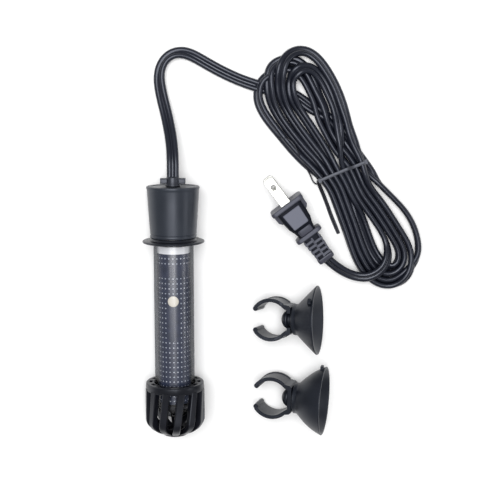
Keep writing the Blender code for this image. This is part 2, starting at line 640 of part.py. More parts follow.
def make_plug():
    stand = empty("plug_stand", PLUG_FACE, (0, 0, PLUG_TURN))
    sections = [
        # in millimetres: distance from the face, half width across, half height;
        # the wide stretch behind the face plate is the finger grips
        (0.0, 10.7, 10.0), (2.6, 10.7, 10.0), (2.8, 10.5, 8.6), (9.0, 10.2, 8.3), (9.3, 8.3, 8.2),
        (14.6, 8.0, 8.0), (18.0, 6.4, 6.4), (21.8, 5.8, 5.8), (22.2, 8.4, 6.6), (24.8, 8.4, 6.6),
        (25.2, 5.6, 5.4),
        (PLUG_LENGTH / MM, 4.3, 3.9),
    ]
    bm = bmesh.new()
    rings = []
    for section in sections:
        x, wide, high = (value * MM for value in section)
        corner = min(wide, high) * 0.35
        ring = []
        for cx, cz, first in ((1, 1, 0), (-1, 1, 90), (-1, -1, 180), (1, -1, 270)):
            for step in (0, 45, 90):
                a = math.radians(first + step)
                ring.append(bm.verts.new((x, cx * (wide - corner) + corner * math.cos(a),
                                          cz * (high - corner) + corner * math.sin(a))))
        rings.append(ring)
    bm.faces.new(rings[0])
    bm.faces.new(rings[-1])
    for one, two in zip(rings, rings[1:]):
        for i in range(len(one)):
            j = (i + 1) % len(one)
            bm.faces.new((one[i], one[j], two[j], two[i]))
    body = finish("plug_body", bm, MATERIALS["plug"], stand)
    pockets = []
    for side, name in ((1, "plug_blade_upper"), (-1, "plug_blade_lower")):
        z = side * BLADE_APART / 2
        length = BLADE_OUT + BLADE_IN
        blade = finish(name, box_mesh((length, BLADE_WIDE, BLADE_THICK),
                                      ((BLADE_IN - BLADE_OUT) / 2, 0, z)), MATERIALS["blade"], stand)
        hole = helper(name + "_hole", rod_mesh(BLADE_HOLE_R, 4 * MM, (-BLADE_HOLE_AT, 0, z)), stand)
        rounded(blade, 0.25 * MM, 1)
        boolean(blade, hole, "DIFFERENCE")
        pockets.append(box_mesh((2 * (BLADE_IN + GAP), BLADE_WIDE + 2 * GAP, BLADE_THICK + 2 * GAP),
                                (0, 0, z)))
    boolean(body, helper("blade_pockets", merged(pockets), stand), "DIFFERENCE")


# ---- all of it --------------------------------------------------------------------------------
for old in list(bpy.data.objects):
    bpy.data.objects.remove(old, do_unlink=True)

MATERIALS = {
    "cap": material("cap_plastic", (0.035, 0.037, 0.045), 0.42),
    "guard": material("guard_plastic", (0.02, 0.021, 0.025), 0.4),
    "clip": material("clip_plastic", (0.035, 0.036, 0.042), 0.45),
    "cup": material("cup_rubber", (0.03, 0.031, 0.036), 0.5),
    "rubber": material("seal_rubber", (0.05, 0.05, 0.05), 0.8),
    "glass": material("tube_glass", (0.85, 0.88, 0.9), 0.05, 0.0, 0.35),
    "label": material("label_print", (0.03, 0.04, 0.09), 0.5),
    "lens": material("lens_plastic", (0.75, 0.7, 0.6), 0.35),
    "lamp": material("lamp_red", (0.6, 0.05, 0.03), 0.2),
    "board": material("board_green", (0.02, 0.16, 0.07), 0.5),
    "component": material("component_black", (0.02, 0.02, 0.02), 0.5),
    "film": material("film_yellow", (0.7, 0.5, 0.08), 0.45),
    "can": material("can_aluminium", (0.6, 0.6, 0.62), 0.3, 1.0),
    "varistor": material("varistor_blue", (0.05, 0.12, 0.4), 0.4),
    "mica": material("mica_sheet", (0.5, 0.4, 0.25), 0.5),
    "ceramic": material("ceramic_white", (0.8, 0.77, 0.7), 0.7),
    "nichrome": material("nichrome_wire", (0.45, 0.43, 0.4), 0.35, 1.0),
    "fuse": material("fuse_case", (0.55, 0.5, 0.4), 0.3, 1.0),
    "wool": material("glass_wool", (0.85, 0.85, 0.8), 0.95),
    "wire_line": material("wire_brown", (0.2, 0.08, 0.03), 0.5),
    "wire_neutral": material("wire_blue", (0.03, 0.1, 0.4), 0.5),
    "cord": material("cord_vinyl", (0.045, 0.046, 0.052), 0.5),
    "plug": material("plug_vinyl", (0.08, 0.082, 0.09), 0.5),
    "blade": material("blade_metal", (0.75, 0.73, 0.7), 0.3, 1.0),
    "tie": material("tie_coat", (0.02, 0.02, 0.02), 0.4),
    "guide": material("guide", (1.0, 0.0, 1.0), 1.0),
}

heater_axis = empty("heater_axis", (AXIS_X, HEATER_Y, AXIS_Z), (math.pi / 2, 0, 0))
make_cap(heater_axis)
make_gland(heater_axis)
make_flange(heater_axis)
make_tube(heater_axis)
make_seal_plug(heater_axis)
make_sleeve(heater_axis)
make_board(heater_axis)
make_leads(heater_axis)
make_element(heater_axis)
make_guard(heater_axis)
for set_name in CLIP_SETS:
    make_clip_set(set_name)
make_cord()
make_tie()
make_plug()
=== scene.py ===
"""Looks of a submersible aquarium heater: its housing, clips, cord and plug, on a pale floor."""
import math

import bmesh
import bpy
import numpy as np
from mathutils import Matrix, Vector


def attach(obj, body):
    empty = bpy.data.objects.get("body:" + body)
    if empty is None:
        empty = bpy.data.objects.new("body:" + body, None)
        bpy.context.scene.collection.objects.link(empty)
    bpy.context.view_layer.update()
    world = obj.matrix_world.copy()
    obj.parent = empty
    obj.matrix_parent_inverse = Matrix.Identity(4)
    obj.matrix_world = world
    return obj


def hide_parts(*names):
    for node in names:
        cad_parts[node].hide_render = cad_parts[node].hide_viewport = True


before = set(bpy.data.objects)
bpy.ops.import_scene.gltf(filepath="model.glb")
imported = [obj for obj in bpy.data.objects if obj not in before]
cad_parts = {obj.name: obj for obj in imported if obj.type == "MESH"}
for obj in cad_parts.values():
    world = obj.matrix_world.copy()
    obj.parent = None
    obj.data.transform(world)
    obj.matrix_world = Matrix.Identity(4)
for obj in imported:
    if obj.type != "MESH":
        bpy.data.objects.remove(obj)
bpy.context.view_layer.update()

MM = 0.001

# ---- where the pieces lie, in millimetres, as in the CAD source -----------------------------
AXIS_X, AXIS_Z, HEATER_Y = -37.6, 18.0, 70.4
EXIT_ROUTE = [
    (-37.6, 77.45, 18.0), (-37.6, 87.0, 16.9), (-38.4, 97.2, 12.5), (-41.1, 111.0, 7.0),
    (-44.2, 123.3, 4.2), (-45.9, 134.5, 3.4), (-43.8, 142.5, 3.2), (-39.0, 147.3, 3.2),
    (-33.0, 148.6, 3.2), (-27.0, 147.0, 3.2), (-18.5, 142.2, 3.2), (-9.5, 137.4, 3.2),
    (-0.6, 133.4, 3.2), (6.3, 130.9, 3.2),
]
PLUG_FACE, PLUG_TURN = (27.3, 61.5, 10.6), math.radians(-53.2)
TIE_MIDDLE, TIE_TURN = (60.4, 79.6), math.radians(23.0)

# ---- the cord itself ------------------------------------------------------------------------
LOBE_R = 1.68           # the twin cord is two round cores side by side
LOBE_APART = 3.7
WEB_HALF = 0.62         # half thickness of the web that joins them
LAID_STEP = 3.0         # spacing of the points while it is laid
SHOWN_STEP = 1.5        # spacing of the sections of the finished cord
ON_EDGE, FLAT = 88, 4   # degrees that its broad side is turned up, here and at the exit route's points
EXIT_ROLL = [0, 2, 5, 8, 12, 30, 42, 40, 26, 10, 2, 0, 0, 0]
TIE_TOP = 7.9           # height of the tie where it crosses the single strands
TIE_RISE = 3.3          # and how much more where one strand lies under the others

# ---- how the cord is laid, each round -------------------------------------------------------
CORE_GAP = 0.08         # air aimed at between cores of different stretches
FLOOR_GAP = 0.25        # and between a core and the floor
SINK = 0.03             # how far it falls
PUSH = 0.35             # share of an overlap that each core gives way
RECALL = 0.995          # share of its shift in plan that it keeps
ROLL_HOLD = 0.06        # how firmly it keeps the turn that it was laid with
HELD_START, START_GIVE = 26, 0.02   # points near the gland, and the most that they give way
HELD_END = 5            # points at the plug that don't move
UNSMOOTHED = 20         # last rounds, without smoothing

# ---- camera ---------------------------------------------------------------------------------
CAMERA_AT = (-4.65, 129.6, 637.7)
CAMERA_TURN = (math.radians(-8.6864), math.radians(-1.0485))   # about X and Y, from straight down


def make_camera():
    data = bpy.data.cameras.new("camera")
    data.sensor_width = 36.0
    data.lens = 77.8
    data.clip_end = 10.0
    camera = bpy.data.objects.new("camera", data)
    turn = Matrix.Rotation(CAMERA_TURN[1], 4, "Y") @ Matrix.Rotation(CAMERA_TURN[0], 4, "X")
    camera.matrix_world = Matrix.Translation(Vector(CAMERA_AT) * MM) @ turn
    bpy.context.scene.collection.objects.link(camera)
    bpy.context.scene.camera = camera


make_camera()


# ---- the cord's route -----------------------------------------------------------------------
def tie_point(across, along=0.0):
    """A place in the bundle at the tie: across it from left to right, and along it upwards."""
    c, s = math.cos(TIE_TURN), math.sin(TIE_TURN)
    return (TIE_MIDDLE[0] + c * across - s * along, TIE_MIDDLE[1] + s * across + c * along)


def leg(points, height, roll):
    return [(x, y, height, roll) for x, y in points]


def wound_cord():
    """(x, y, z, roll) along the hank, from where the cord comes in to where it meets the plug."""
    low, mid, over = 2.1, 4.0, 8.6
    path = leg([(18.5, 127.6), (30.0, 124.6), (38.0, 120.4), (47.0, 114.2), (56.0, 106.0)], low, FLAT)
    path += leg([(62.4, 97.2), (66.8, 90.0), tie_point(11.0)], low, FLAT)
    path += leg([(75.4, 77.6)], low + 0.4, 24)
    path += leg([(81.0, 71.6), (88.6, 65.0), (97.2, 56.8), (103.0, 48.3),
                 (106.4, 38.4), (106.8, 30.4)], mid, ON_EDGE)
    path += leg([(103.6, 22.6), (98.0, 16.8)], low + 0.6, 40)
    path += leg([(91.0, 14.4), (84.6, 15.6), (79.6, 19.6), (75.2, 26.6), (71.2, 34.5), (68.4, 42.9),
                 (65.0, 52.5), (60.8, 63.2), (58.0, 70.4), tie_point(-7.8)], mid, ON_EDGE)
    # second upper loop from the left
    path += leg([(46.4, 84.6), (40.6, 90.4), (35.0, 96.8), (29.6, 103.4), (24.2, 110.8)], mid, 54)
    path += leg([(20.0, 118.6), (18.0, 126.2), (17.8, 133.4), (20.4, 139.6)], 4.8, 44)
    path += leg([(25.0, 143.2), (30.6, 144.2), (36.0, 142.6), (40.2, 137.6), (44.0, 129.6)], 4.8, 46)
    path += leg([(47.8, 119.8), (51.0, 111.6), (54.4, 103.0)], mid, 74)
    path += leg([(59.6, 93.4), tie_point(9.0), (72.4, 73.0)], 6.8, 82)
    path += leg([(75.8, 66.8), (80.8, 60.4), (87.0, 51.6), (93.0, 42.4),
                 (97.4, 35.2), (99.4, 29.0), (97.8, 21.8), (91.8, 17.4), (85.4, 19.4), (80.6, 24.2),
                 (77.4, 29.2), (74.6, 36.0), (71.8, 44.2), (68.4, 53.8), (64.2, 64.5), (61.2, 72.2),
                 tie_point(-4.4)], mid, ON_EDGE)
    # third from the left, the largest
    path += leg([(49.8, 87.0), (44.6, 93.2), (39.4, 99.8), (33.8, 107.2), (28.8, 114.8)], 5.0, 52)
    path += leg([(25.2, 122.4), (23.6, 129.4)], 6.0, 46)
    path += leg([(23.8, 136.6), (25.4, 142.4), (29.2, 147.0), (34.0, 149.2), (39.0, 148.8),
                 (43.8, 145.8), (48.2, 140.6)], over, 44)
    path += leg([(52.6, 133.4), (56.6, 125.4), (60.0, 116.6)], 7.4, 44)
    path += leg([(63.0, 106.6), (65.2, 97.4)], 6.0, 58)
    path += leg([(68.4, 90.4), tie_point(12.5), (75.6, 73.6)], 6.9, 80)
    path += leg([(78.8, 68.2), (83.6, 62.8), (89.8, 54.0), (95.8, 44.8),
                 (100.6, 37.0), (103.0, 30.0)], mid, ON_EDGE)
    path += leg([(102.4, 22.6), (97.6, 14.8)], 6.4, 74)
    path += leg([(89.2, 11.4), (81.6, 13.4), (75.4, 18.8), (71.2, 25.0), (67.8, 33.3), (65.0, 41.7),
                 (61.6, 51.3), (57.4, 62.0), (54.6, 69.2), tie_point(-11.2)], mid, ON_EDGE)
    # leftmost upper loop; below the tie it comes back on top of its neighbour
    path += leg([(42.6, 82.0), (36.6, 87.4), (30.6, 93.8), (25.0, 100.6)], mid, 58)
    path += leg([(19.6, 107.4), (15.2, 113.6), (12.2, 120.4)], 3.6, 48)
    path += leg([(11.8, 126.4), (14.2, 131.8), (18.6, 135.4)], mid, 60)
    path += leg([(24.6, 137.8), (30.2, 138.4), (34.6, 135.8), (39.0, 130.0), (43.0, 121.8),
                 (47.2, 113.2), (52.0, 104.4), (58.4, 94.0)], 3.8, 70)
    path += leg([tie_point(5.7), (72.4, 65.2), (77.8, 58.6), (84.0, 49.6), (90.0, 40.4),
                 (94.2, 33.6), (95.8, 28.4), (94.4, 23.4)], mid, ON_EDGE)
    path += leg([(90.2, 20.8)], 6.6, 62)
    path += leg([(84.6, 22.2), (80.0, 27.4), (76.8, 34.0), (73.9, 42.6), (70.7, 52.8)], 9.4, 18)
    path += leg([(66.9, 64.6)], 6.8, 60)
    path += leg([(64.2, 73.2), tie_point(-1.0)], mid, ON_EDGE)
    # innermost upper loop, which lies over the others
    path += leg([(53.4, 89.2), (48.8, 96.4), (43.8, 104.0), (38.6, 111.8), (33.8, 119.2)], 5.8, 56)
    path += leg([(30.8, 126.4), (30.6, 132.6)], 6.6, 60)
    path += leg([(33.0, 137.6), (37.4, 140.2), (42.4, 140.0), (47.0, 136.6), (50.8, 131.0),
                 (54.0, 124.0)], over + 1.4, 38)
    path += leg([(56.4, 116.4), (57.8, 107.6), (58.8, 99.6)], 8.2, 56)
    path += leg([(60.6, 90.0)], 6.4, 74)
    path += leg([tie_point(2.3), (68.6, 65.2), (74.0, 59.2), (80.2, 51.0), (85.6, 43.2)], mid, 84)
    path += leg([(88.4, 36.0)], 5.6, 78)
    path += leg([(88.8, 29.0), (86.4, 23.0), (81.4, 18.6)], 9.8, 52)
    path += leg([(74.8, 16.8), (68.0, 17.8), (61.4, 21.0), (56.4, 24.6), (52.7, 27.9)], 10.4, 46)
    return path


def spread_evenly(points, spacing):
    """Points at an even spacing on one smooth curve through (x, y, z, roll) points."""
    knots = np.array(points, float)
    ends = np.vstack([2 * knots[0] - knots[1], knots, 2 * knots[-1] - knots[-2]])
    fine = []
    for a, b, c, d in zip(ends, ends[1:], ends[2:], ends[3:]):
        t = np.linspace(0, 1, 24, endpoint=False)[:, None]
        fine.append(0.5 * (2 * b + (c - a) * t + (2 * a - 5 * b + 4 * c - d) * t ** 2
                           + (3 * b - a - 3 * c + d) * t ** 3))
    fine = np.vstack(fine + [knots[-1:]])
    run = np.concatenate([[0], np.cumsum(np.linalg.norm(np.diff(fine[:, :3], axis=0), axis=1))])
    goal = np.linspace(0, run[-1], max(2, round(run[-1] / spacing)) + 1)
    return np.stack([np.interp(goal, run, fine[:, k]) for k in range(4)], axis=1)


def smoothed(values, passes):
    for _ in range(passes):
        values[1:-1] = 0.25 * values[:-2] + 0.5 * values[1:-1] + 0.25 * values[2:]
    return values


def close_pairs(flat, number, reach, neighbours=4):
    """Pairs of core points, from different stretches of the cord, that are within reach."""
    gap = ((flat[:, None, :] - flat[None, :, :]) ** 2).sum(axis=2)
    apart = np.abs(number[:, None] - number[None, :]) > neighbours
    one, two = np.nonzero(apart & (gap < reach ** 2))
    once = one < two
    return one[once], two[once]


def settle(route, rounds=900, refresh=30):
    """Lay the two cores of the cord: pushed out of each other, sunk, and above the floor."""
    line, roll = route[:, :3], np.radians(route[:, 3])
    tangent = np.gradient(line, axis=0)
    tangent[:, 2] = 0
    tangent /= np.linalg.norm(tangent, axis=1)[:, None]
    side = np.stack([tangent[:, 1], -tangent[:, 0], 0 * roll], axis=1)
    broad = side * np.cos(roll)[:, None] + np.array([0, 0, 1.0]) * np.sin(roll)[:, None]
    half = LOBE_APART / 2
    start = np.stack([line - broad * half, line + broad * half], axis=1)
    cores = start.copy()
    count = len(line)
    number = np.repeat(np.arange(count), 2)
    room = 2 * LOBE_R + CORE_GAP
    free = np.ones((count, 1, 1))
    free[:HELD_START] = np.linspace(0, START_GIVE, HELD_START)[:, None, None]
    free[-HELD_END:] = 0
    for turn in range(rounds):
        if turn % refresh == 0:
            one, two = close_pairs(cores.reshape(-1, 3), number, room + LAID_STEP)
        cores[:, :, 2] -= SINK * free[:, :, 0]
        flat = cores.reshape(-1, 3)
        gap = flat[one] - flat[two]
        far = np.sqrt((gap ** 2).sum(axis=1)) + 1e-9
        push = gap * (np.maximum(room - far, 0.0) / far * PUSH)[:, None]
        move = np.zeros_like(flat)
        np.add.at(move, one, push)
        np.add.at(move, two, -push)
        shift = (cores + move.reshape(cores.shape) * free) - start
        shift[:, :, :2] *= RECALL
        if turn < rounds - UNSMOOTHED:
            shift = smoothed(shift, 1)
        cores = start + shift
        middle = cores.mean(axis=1, keepdims=True)
        # the cores stay side by side: square to the cord, and near the turn they were laid with
        lean = (cores[:, 1] - cores[:, 0]) / (2 * half) * (1 - ROLL_HOLD) + broad * ROLL_HOLD
        along = np.gradient(middle[:, 0], axis=0)
        along /= np.linalg.norm(along, axis=1)[:, None]
        lean -= (lean * along).sum(axis=1)[:, None] * along
        lean /= np.linalg.norm(lean, axis=1)[:, None]
        cores = np.concatenate([middle - lean[:, None] * half, middle + lean[:, None] * half], axis=1)
        lift = np.maximum(LOBE_R + FLOOR_GAP - cores[:, :, 2].min(axis=1), 0.0)
        cores[:, :, 2] += lift[:, None]
    return cores


# ---- materials ------------------------------------------------------------------------------
COOL_TINT = (0.84, 0.88, 1.0, 1)        # of the reflections of moulded pieces that aren't metal


def new_material(name):
    made = bpy.data.materials.new(name)
    made.use_nodes = True
    return made, made.node_tree, made.node_tree.nodes["Principled BSDF"]


def add(tree, kind, inputs=None, **settings):
    node = tree.nodes.new("ShaderNode" + kind)
    for key, value in settings.items():
        setattr(node, key, value)
    for key, value in (inputs or {}).items():
        if isinstance(value, bpy.types.NodeSocket):
            tree.links.new(value, node.inputs[key])
        else:
            node.inputs[key].default_value = value
    return node


def ramp(tree, factor, stops):
    node = add(tree, "ValToRGB", {"Fac": factor})
    band = node.color_ramp
    for place, colour in stops[2:]:
        band.elements.new(place)
    for element, (place, colour) in zip(band.elements, sorted(stops)):
        element.position = place
        element.color = (*colour, 1.0)
    return node.outputs["Color"]


def grey(value):
    return (value, value, value)


def moulded(name, colour, roughness, grain, depth, mottle, sheen=0.5, metallic=0.0):
    """Moulded plastic, rubber or plain metal: fine grain, slightly uneven colour and gloss."""
    made, tree, shader = new_material(name)
    where = add(tree, "TexCoord").outputs["Object"]
    fine = add(tree, "TexNoise", {"Vector": where, "Scale": grain, "Detail": 3.0}).outputs["Fac"]
    broad = add(tree, "TexNoise", {"Vector": where, "Scale": 55.0, "Detail": 4.0}).outputs["Fac"]
    darker = tuple(c * (1 - mottle) for c in colour)
    lighter = tuple(min(1.0, c * (1 + mottle)) for c in colour)
    tree.links.new(ramp(tree, broad, [(0.3, darker), (0.72, lighter)]), shader.inputs["Base Color"])
    smooth, rough = max(0.03, roughness - 0.06), min(1.0, roughness + 0.08)
    gloss = ramp(tree, broad, [(0.25, grey(smooth)), (0.8, grey(rough))])
    tree.links.new(gloss, shader.inputs["Roughness"])
    bump = add(tree, "Bump", {"Height": fine, "Strength": depth, "Distance": 0.00006})
    tree.links.new(bump.outputs["Normal"], shader.inputs["Normal"])
    shader.inputs["Specular IOR Level"].default_value = sheen
    shader.inputs["Metallic"].default_value = metallic
    if not metallic:
        shader.inputs["Specular Tint"].default_value = COOL_TINT
    return made


def thin_glass(name):
    """A clear wall seen through: mostly what lies behind it, greyed towards its edges as painted shade, and
    its reflections on top.
    """
    made, tree, shader = new_material(name)
    where = add(tree, "TexCoord").outputs["Object"]
    smear = add(tree, "TexNoise", {"Vector": where, "Scale": 90.0, "Detail": 3.0}).outputs["Fac"]
    edge = add(tree, "LayerWeight", {"Blend": 0.34}).outputs["Facing"]
    # painted shade: the see-through colour turns grey away from the tube's middle, for the wall seen edge-on
    # against the darker room
    edge_shade = ramp(tree, edge, [(0.22, (0.97, 0.97, 0.98)), (0.30, (0.40, 0.41, 0.43)),
                             (0.60, (0.36, 0.37, 0.39)), (0.90, (0.30, 0.31, 0.33))])
    through = add(tree, "BsdfTransparent", {"Color": edge_shade})
    rough = ramp(tree, smear, [(0.2, grey(0.22)), (0.8, grey(0.27))])
    shine = add(tree, "BsdfGlossy", {"Color": (1, 1, 1, 1), "Roughness": rough})
    share = ramp(tree, edge, [(0.0, grey(0.05)), (0.6, grey(0.07)), (0.93, grey(0.22))])
    mixed = add(tree, "MixShader", {"Fac": share})
    tree.links.new(through.outputs[0], mixed.inputs[1])
    tree.links.new(shine.outputs[0], mixed.inputs[2])
    tree.links.new(mixed.outputs[0], tree.nodes["Material Output"].inputs["Surface"])
    tree.nodes.remove(shader)
    return made


def maths(tree, kind, one, two=None):
    inputs = {0: one} if two is None else {0: one, 1: two}
    return add(tree, "Math", inputs, operation=kind).outputs[0]


# The label's dots: columns round the tube, distance between rows, and the shape of a dot in its cell.
DOT_COLUMNS, DOT_ROW = 26, 2.9
DOT_PHASE = 50.5        # turns the columns by half a cell and keeps their count above zero
DOT_ACROSS, DOT_ALONG, DOT_R = 2.3, 2.85, 0.36


def printed_label(name):
    """Dark blue film with a pale band and rows of dots, plain where the maker's text would be."""
    made, tree, shader = new_material(name)

    def take(one, two):
        return maths(tree, "SUBTRACT", one, two)

    def times(one, two):
        return maths(tree, "MULTIPLY", one, two)

    def plus(one, two):
        return maths(tree, "ADD", one, two)

    def over(one, two):
        return maths(tree, "DIVIDE", one, two)

    def from_middle(value):
        """How far a value is from the middle between two whole numbers."""
        return take(maths(tree, "FRACT", value), 0.5)

    where = add(tree, "SeparateXYZ", {"Vector": add(tree, "TexCoord").outputs["Object"]})
    x = take(where.outputs["X"], AXIS_X * MM)
    z = take(where.outputs["Z"], AXIS_Z * MM)
    along = take(HEATER_Y * MM, where.outputs["Y"])
    turn = maths(tree, "ARCTAN2", x, z)
    column, row = math.tau / DOT_COLUMNS, DOT_ROW * MM
    across = times(from_middle(plus(over(turn, column), DOT_PHASE)), DOT_ACROSS)
    down = times(from_middle(over(along, row)), DOT_ALONG)
    reach = maths(tree, "SQRT", plus(maths(tree, "POWER", across, 2.0), maths(tree, "POWER", down, 2.0)))
    dot = maths(tree, "LESS_THAN", reach, DOT_R)

    def between(low, high):
        return times(maths(tree, "GREATER_THAN", along, low * MM),
                     maths(tree, "LESS_THAN", along, high * MM))

    rows = plus(between(37.7, 43.5), plus(between(49.3, 60.9), between(87.0, 125.0)))
    side = maths(tree, "GREATER_THAN", maths(tree, "ABSOLUTE", take(turn, 0.02)), 0.30)
    beside = times(between(60.9, 87.0), side)
    shown = times(dot, maths(tree, "MINIMUM", plus(rows, beside), 1.0))
    object_place = add(tree, "TexCoord").outputs["Object"]
    fade = add(tree, "TexNoise", {"Vector": object_place, "Scale": 260.0}).outputs["Fac"]
    ink = ramp(tree, fade, [(0.3, (0.010, 0.016, 0.038)), (0.7, (0.020, 0.028, 0.060))])
    pale = ramp(tree, fade, [(0.35, (0.30, 0.34, 0.42)), (0.65, (0.55, 0.58, 0.64))])
    mixed = add(tree, "Mix", {0: shown}, data_type="RGBA")
    tree.links.new(ink, mixed.inputs[6])
    tree.links.new(pale, mixed.inputs[7])
    white = between(32.0, 36.6)
    banded = add(tree, "Mix", {0: white}, data_type="RGBA")
    tree.links.new(mixed.outputs[2], banded.inputs[6])
    banded.inputs[7].default_value = (0.66, 0.67, 0.69, 1)
    tree.links.new(banded.outputs[2], shader.inputs["Base Color"])
    shader.inputs["Roughness"].default_value = 0.42
    return made


LOOK = {
    "cap": moulded("satin_black_plastic", (0.019, 0.023, 0.031), 0.38, 1400, 0.10, 0.15),
    "flange": moulded("satin_black_flange", (0.008, 0.009, 0.013), 0.34, 1400, 0.10, 0.15, 0.45),
    "guard": moulded("black_guard_plastic", (0.004, 0.0045, 0.007), 0.34, 1100, 0.14, 0.2, 0.42),
    "clip": moulded("black_clip_plastic", (0.006, 0.008, 0.013), 0.36, 1200, 0.12, 0.18, 0.42),
    "cup": moulded("black_cup_rubber", (0.007, 0.009, 0.014), 0.42, 700, 0.10, 0.2, 0.42),
    "cord": moulded("black_cord_vinyl", (0.008, 0.0095, 0.016), 0.31, 1600, 0.08, 0.15, 0.45),
    "plug": moulded("dark_grey_plug_vinyl", (0.045, 0.046, 0.062), 0.44, 1300, 0.18, 0.15),
    "pad": moulded("grey_plug_pad", (0.098, 0.102, 0.132), 0.5, 1300, 0.2, 0.12),
    "gland": moulded("black_gland_vinyl", (0.018, 0.020, 0.027), 0.4, 1400, 0.1, 0.15),
    "tie": moulded("grey_tie_coat", (0.055, 0.058, 0.070), 0.45, 2000, 0.15, 0.15),
    "wire": moulded("black_tie_wire", (0.008, 0.008, 0.011), 0.35, 2000, 0.1, 0.15),
    "blade": moulded("nickel_blade", (0.50, 0.50, 0.475), 0.34, 2400, 0.10, 0.10, 0.5, 1.0),
    "lens": moulded("cream_lens", (0.62, 0.58, 0.50), 0.4, 1500, 0.1, 0.08),
    "core": moulded("black_plug_vinyl", (0.004, 0.005, 0.009), 0.5, 1300, 0.18, 0.15, 0.15),
    "lamp": moulded("red_lamp", (0.45, 0.04, 0.03), 0.2, 1500, 0.05, 0.1),
    "board": moulded("green_board", (0.02, 0.14, 0.06), 0.4, 1800, 0.1, 0.25),
    "component": moulded("black_component", (0.018, 0.018, 0.02), 0.5, 1800, 0.2, 0.15),
    "film": moulded("yellow_capacitor", (0.6, 0.42, 0.07), 0.4, 1500, 0.1, 0.12),
    "can": moulded("aluminium_can", (0.6, 0.6, 0.62), 0.3, 1500, 0.1, 0.08, 0.5, 1.0),
    "varistor": moulded("blue_varistor", (0.04, 0.10, 0.34), 0.35, 1500, 0.15, 0.15),
    "mica": moulded("mica_sheet", (0.42, 0.34, 0.22), 0.4, 900, 0.25, 0.3),
    "ceramic": moulded("white_ceramic", (0.72, 0.69, 0.62), 0.6, 1100, 0.25, 0.08),
    "nichrome": moulded("nichrome_wire", (0.42, 0.40, 0.37), 0.35, 2400, 0.15, 0.12, 0.5, 1.0),
    "fuse": moulded("fuse_case", (0.52, 0.47, 0.38), 0.3, 2000, 0.1, 0.1, 0.5, 1.0),
    # painted shade: the cushion inside the guard is coloured near black for the shade that the guard's ribs
    # cast there
    "wool": moulded("mineral_wool_painted_shade", (0.020, 0.020, 0.022), 0.95, 500, 0.9, 0.2, 0.2),
    "brown": moulded("brown_wire", (0.16, 0.06, 0.03), 0.4, 1800, 0.1, 0.12),
    "blue": moulded("blue_wire", (0.03, 0.09, 0.32), 0.4, 1800, 0.1, 0.12),
    "seal": moulded("black_seal_rubber", (0.02, 0.02, 0.022), 0.6, 900, 0.2, 0.2),
    "glass": thin_glass("clear_tube"),
    "label": printed_label("printed_label"),
}

for node_name, look in {
    "seal_plug": "seal", "seal_ring": "seal", "indicator_lens": "lens", "indicator_lamp": "lamp",
    "circuit_board": "board", "triac": "component", "control_chip": "component",
    "film_capacitor": "film", "smoothing_capacitor": "can", "varistor": "varistor",
    "thermistor": "varistor", "thermal_fuse": "fuse", "mica_disc": "mica", "ceramic_core": "ceramic",
    # painted shade: the lower core disc takes the black colour for the shade inside the guard
    "heating_coil": "nichrome", "core_disc_upper": "ceramic", "core_disc_lower": "component",
    "base_cushion": "wool", "lead_line": "brown", "lead_neutral": "blue",
    "element_lead_feed": "nichrome", "element_lead_return": "nichrome",
}.items():
    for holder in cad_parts[node_name].material_slots:
        holder.material = LOOK[look]


# ---- building blocks ------------------------------------------------------------------------
HEATER = Matrix.Translation(Vector((AXIS_X, HEATER_Y, AXIS_Z))) @ Matrix.Rotation(math.pi / 2, 4, "X")


def piece(name, bm, look, body, nodes=(), matrix=None, smooth=35, bevel=0.0):
    """Make an object from a bmesh in millimetres: placed, coloured, riding on its body."""
    if matrix is not None:
        bmesh.ops.transform(bm, matrix=matrix, verts=bm.verts)
    bmesh.ops.scale(bm, vec=(MM, MM, MM), verts=bm.verts)
    bmesh.ops.recalc_face_normals(bm, faces=bm.faces)
    mesh = bpy.data.meshes.new(name)
    bm.to_mesh(mesh)
    bm.free()
    mesh.shade_smooth()
    mesh.set_sharp_from_angle(angle=math.radians(smooth))
    made = bpy.data.objects.new(name, mesh)
    bpy.context.scene.collection.objects.link(made)
    mesh.materials.append(LOOK[look])
    if bevel:
        step = made.modifiers.new("Bevel", "BEVEL")
        step.width = bevel * MM
        step.segments = 2
        step.limit_method = "ANGLE"
        step.angle_limit = math.radians(35)
        step.harden_normals = False
    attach(made, body)
    if nodes:
        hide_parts(*nodes)
    return made


def lathe(profile, sides=96, closed=False):
    """Spin (radius, distance along Z) points about Z."""
    bm = bmesh.new()
    verts = [bm.verts.new((r, 0.0, z)) for r, z in profile]
    pairs = list(zip(verts, verts[1:])) + ([(verts[-1], verts[0])] if closed else [])
    edges = [bm.edges.new(pair) for pair in pairs]
    bmesh.ops.spin(bm, geom=verts + edges, cent=(0, 0, 0), axis=(0, 0, 1), angle=math.tau,
                   steps=sides, use_merge=True)
    bmesh.ops.remove_doubles(bm, verts=bm.verts, dist=1e-4)
    return bm


def rounded_corner(centre, radius, first, last, steps=5):
    return [(centre[0] + radius * math.cos(math.radians(first + (last - first) * k / steps)),
             centre[1] + radius * math.sin(math.radians(first + (last - first) * k / steps)))
            for k in range(steps + 1)]


def join(parts):
    whole = bmesh.new()
    for part in parts:
        spare = bpy.data.meshes.new("spare")
        part.to_mesh(spare)
        part.free()
        whole.from_mesh(spare)
        bpy.data.meshes.remove(spare)
    return whole


def new_verts(grown):
    """The vertices that an extrusion made."""
    return [v for v in grown["geom"] if isinstance(v, bmesh.types.BMVert)]


def block(size, centre=(0, 0, 0), turn=None):
    bm = bmesh.new()
    bmesh.ops.create_cube(bm, size=1.0)
    bmesh.ops.scale(bm, vec=size, verts=bm.verts)
    if turn is not None:
        bmesh.ops.transform(bm, matrix=turn, verts=bm.verts)
    bmesh.ops.translate(bm, vec=centre, verts=bm.verts)
    return bm


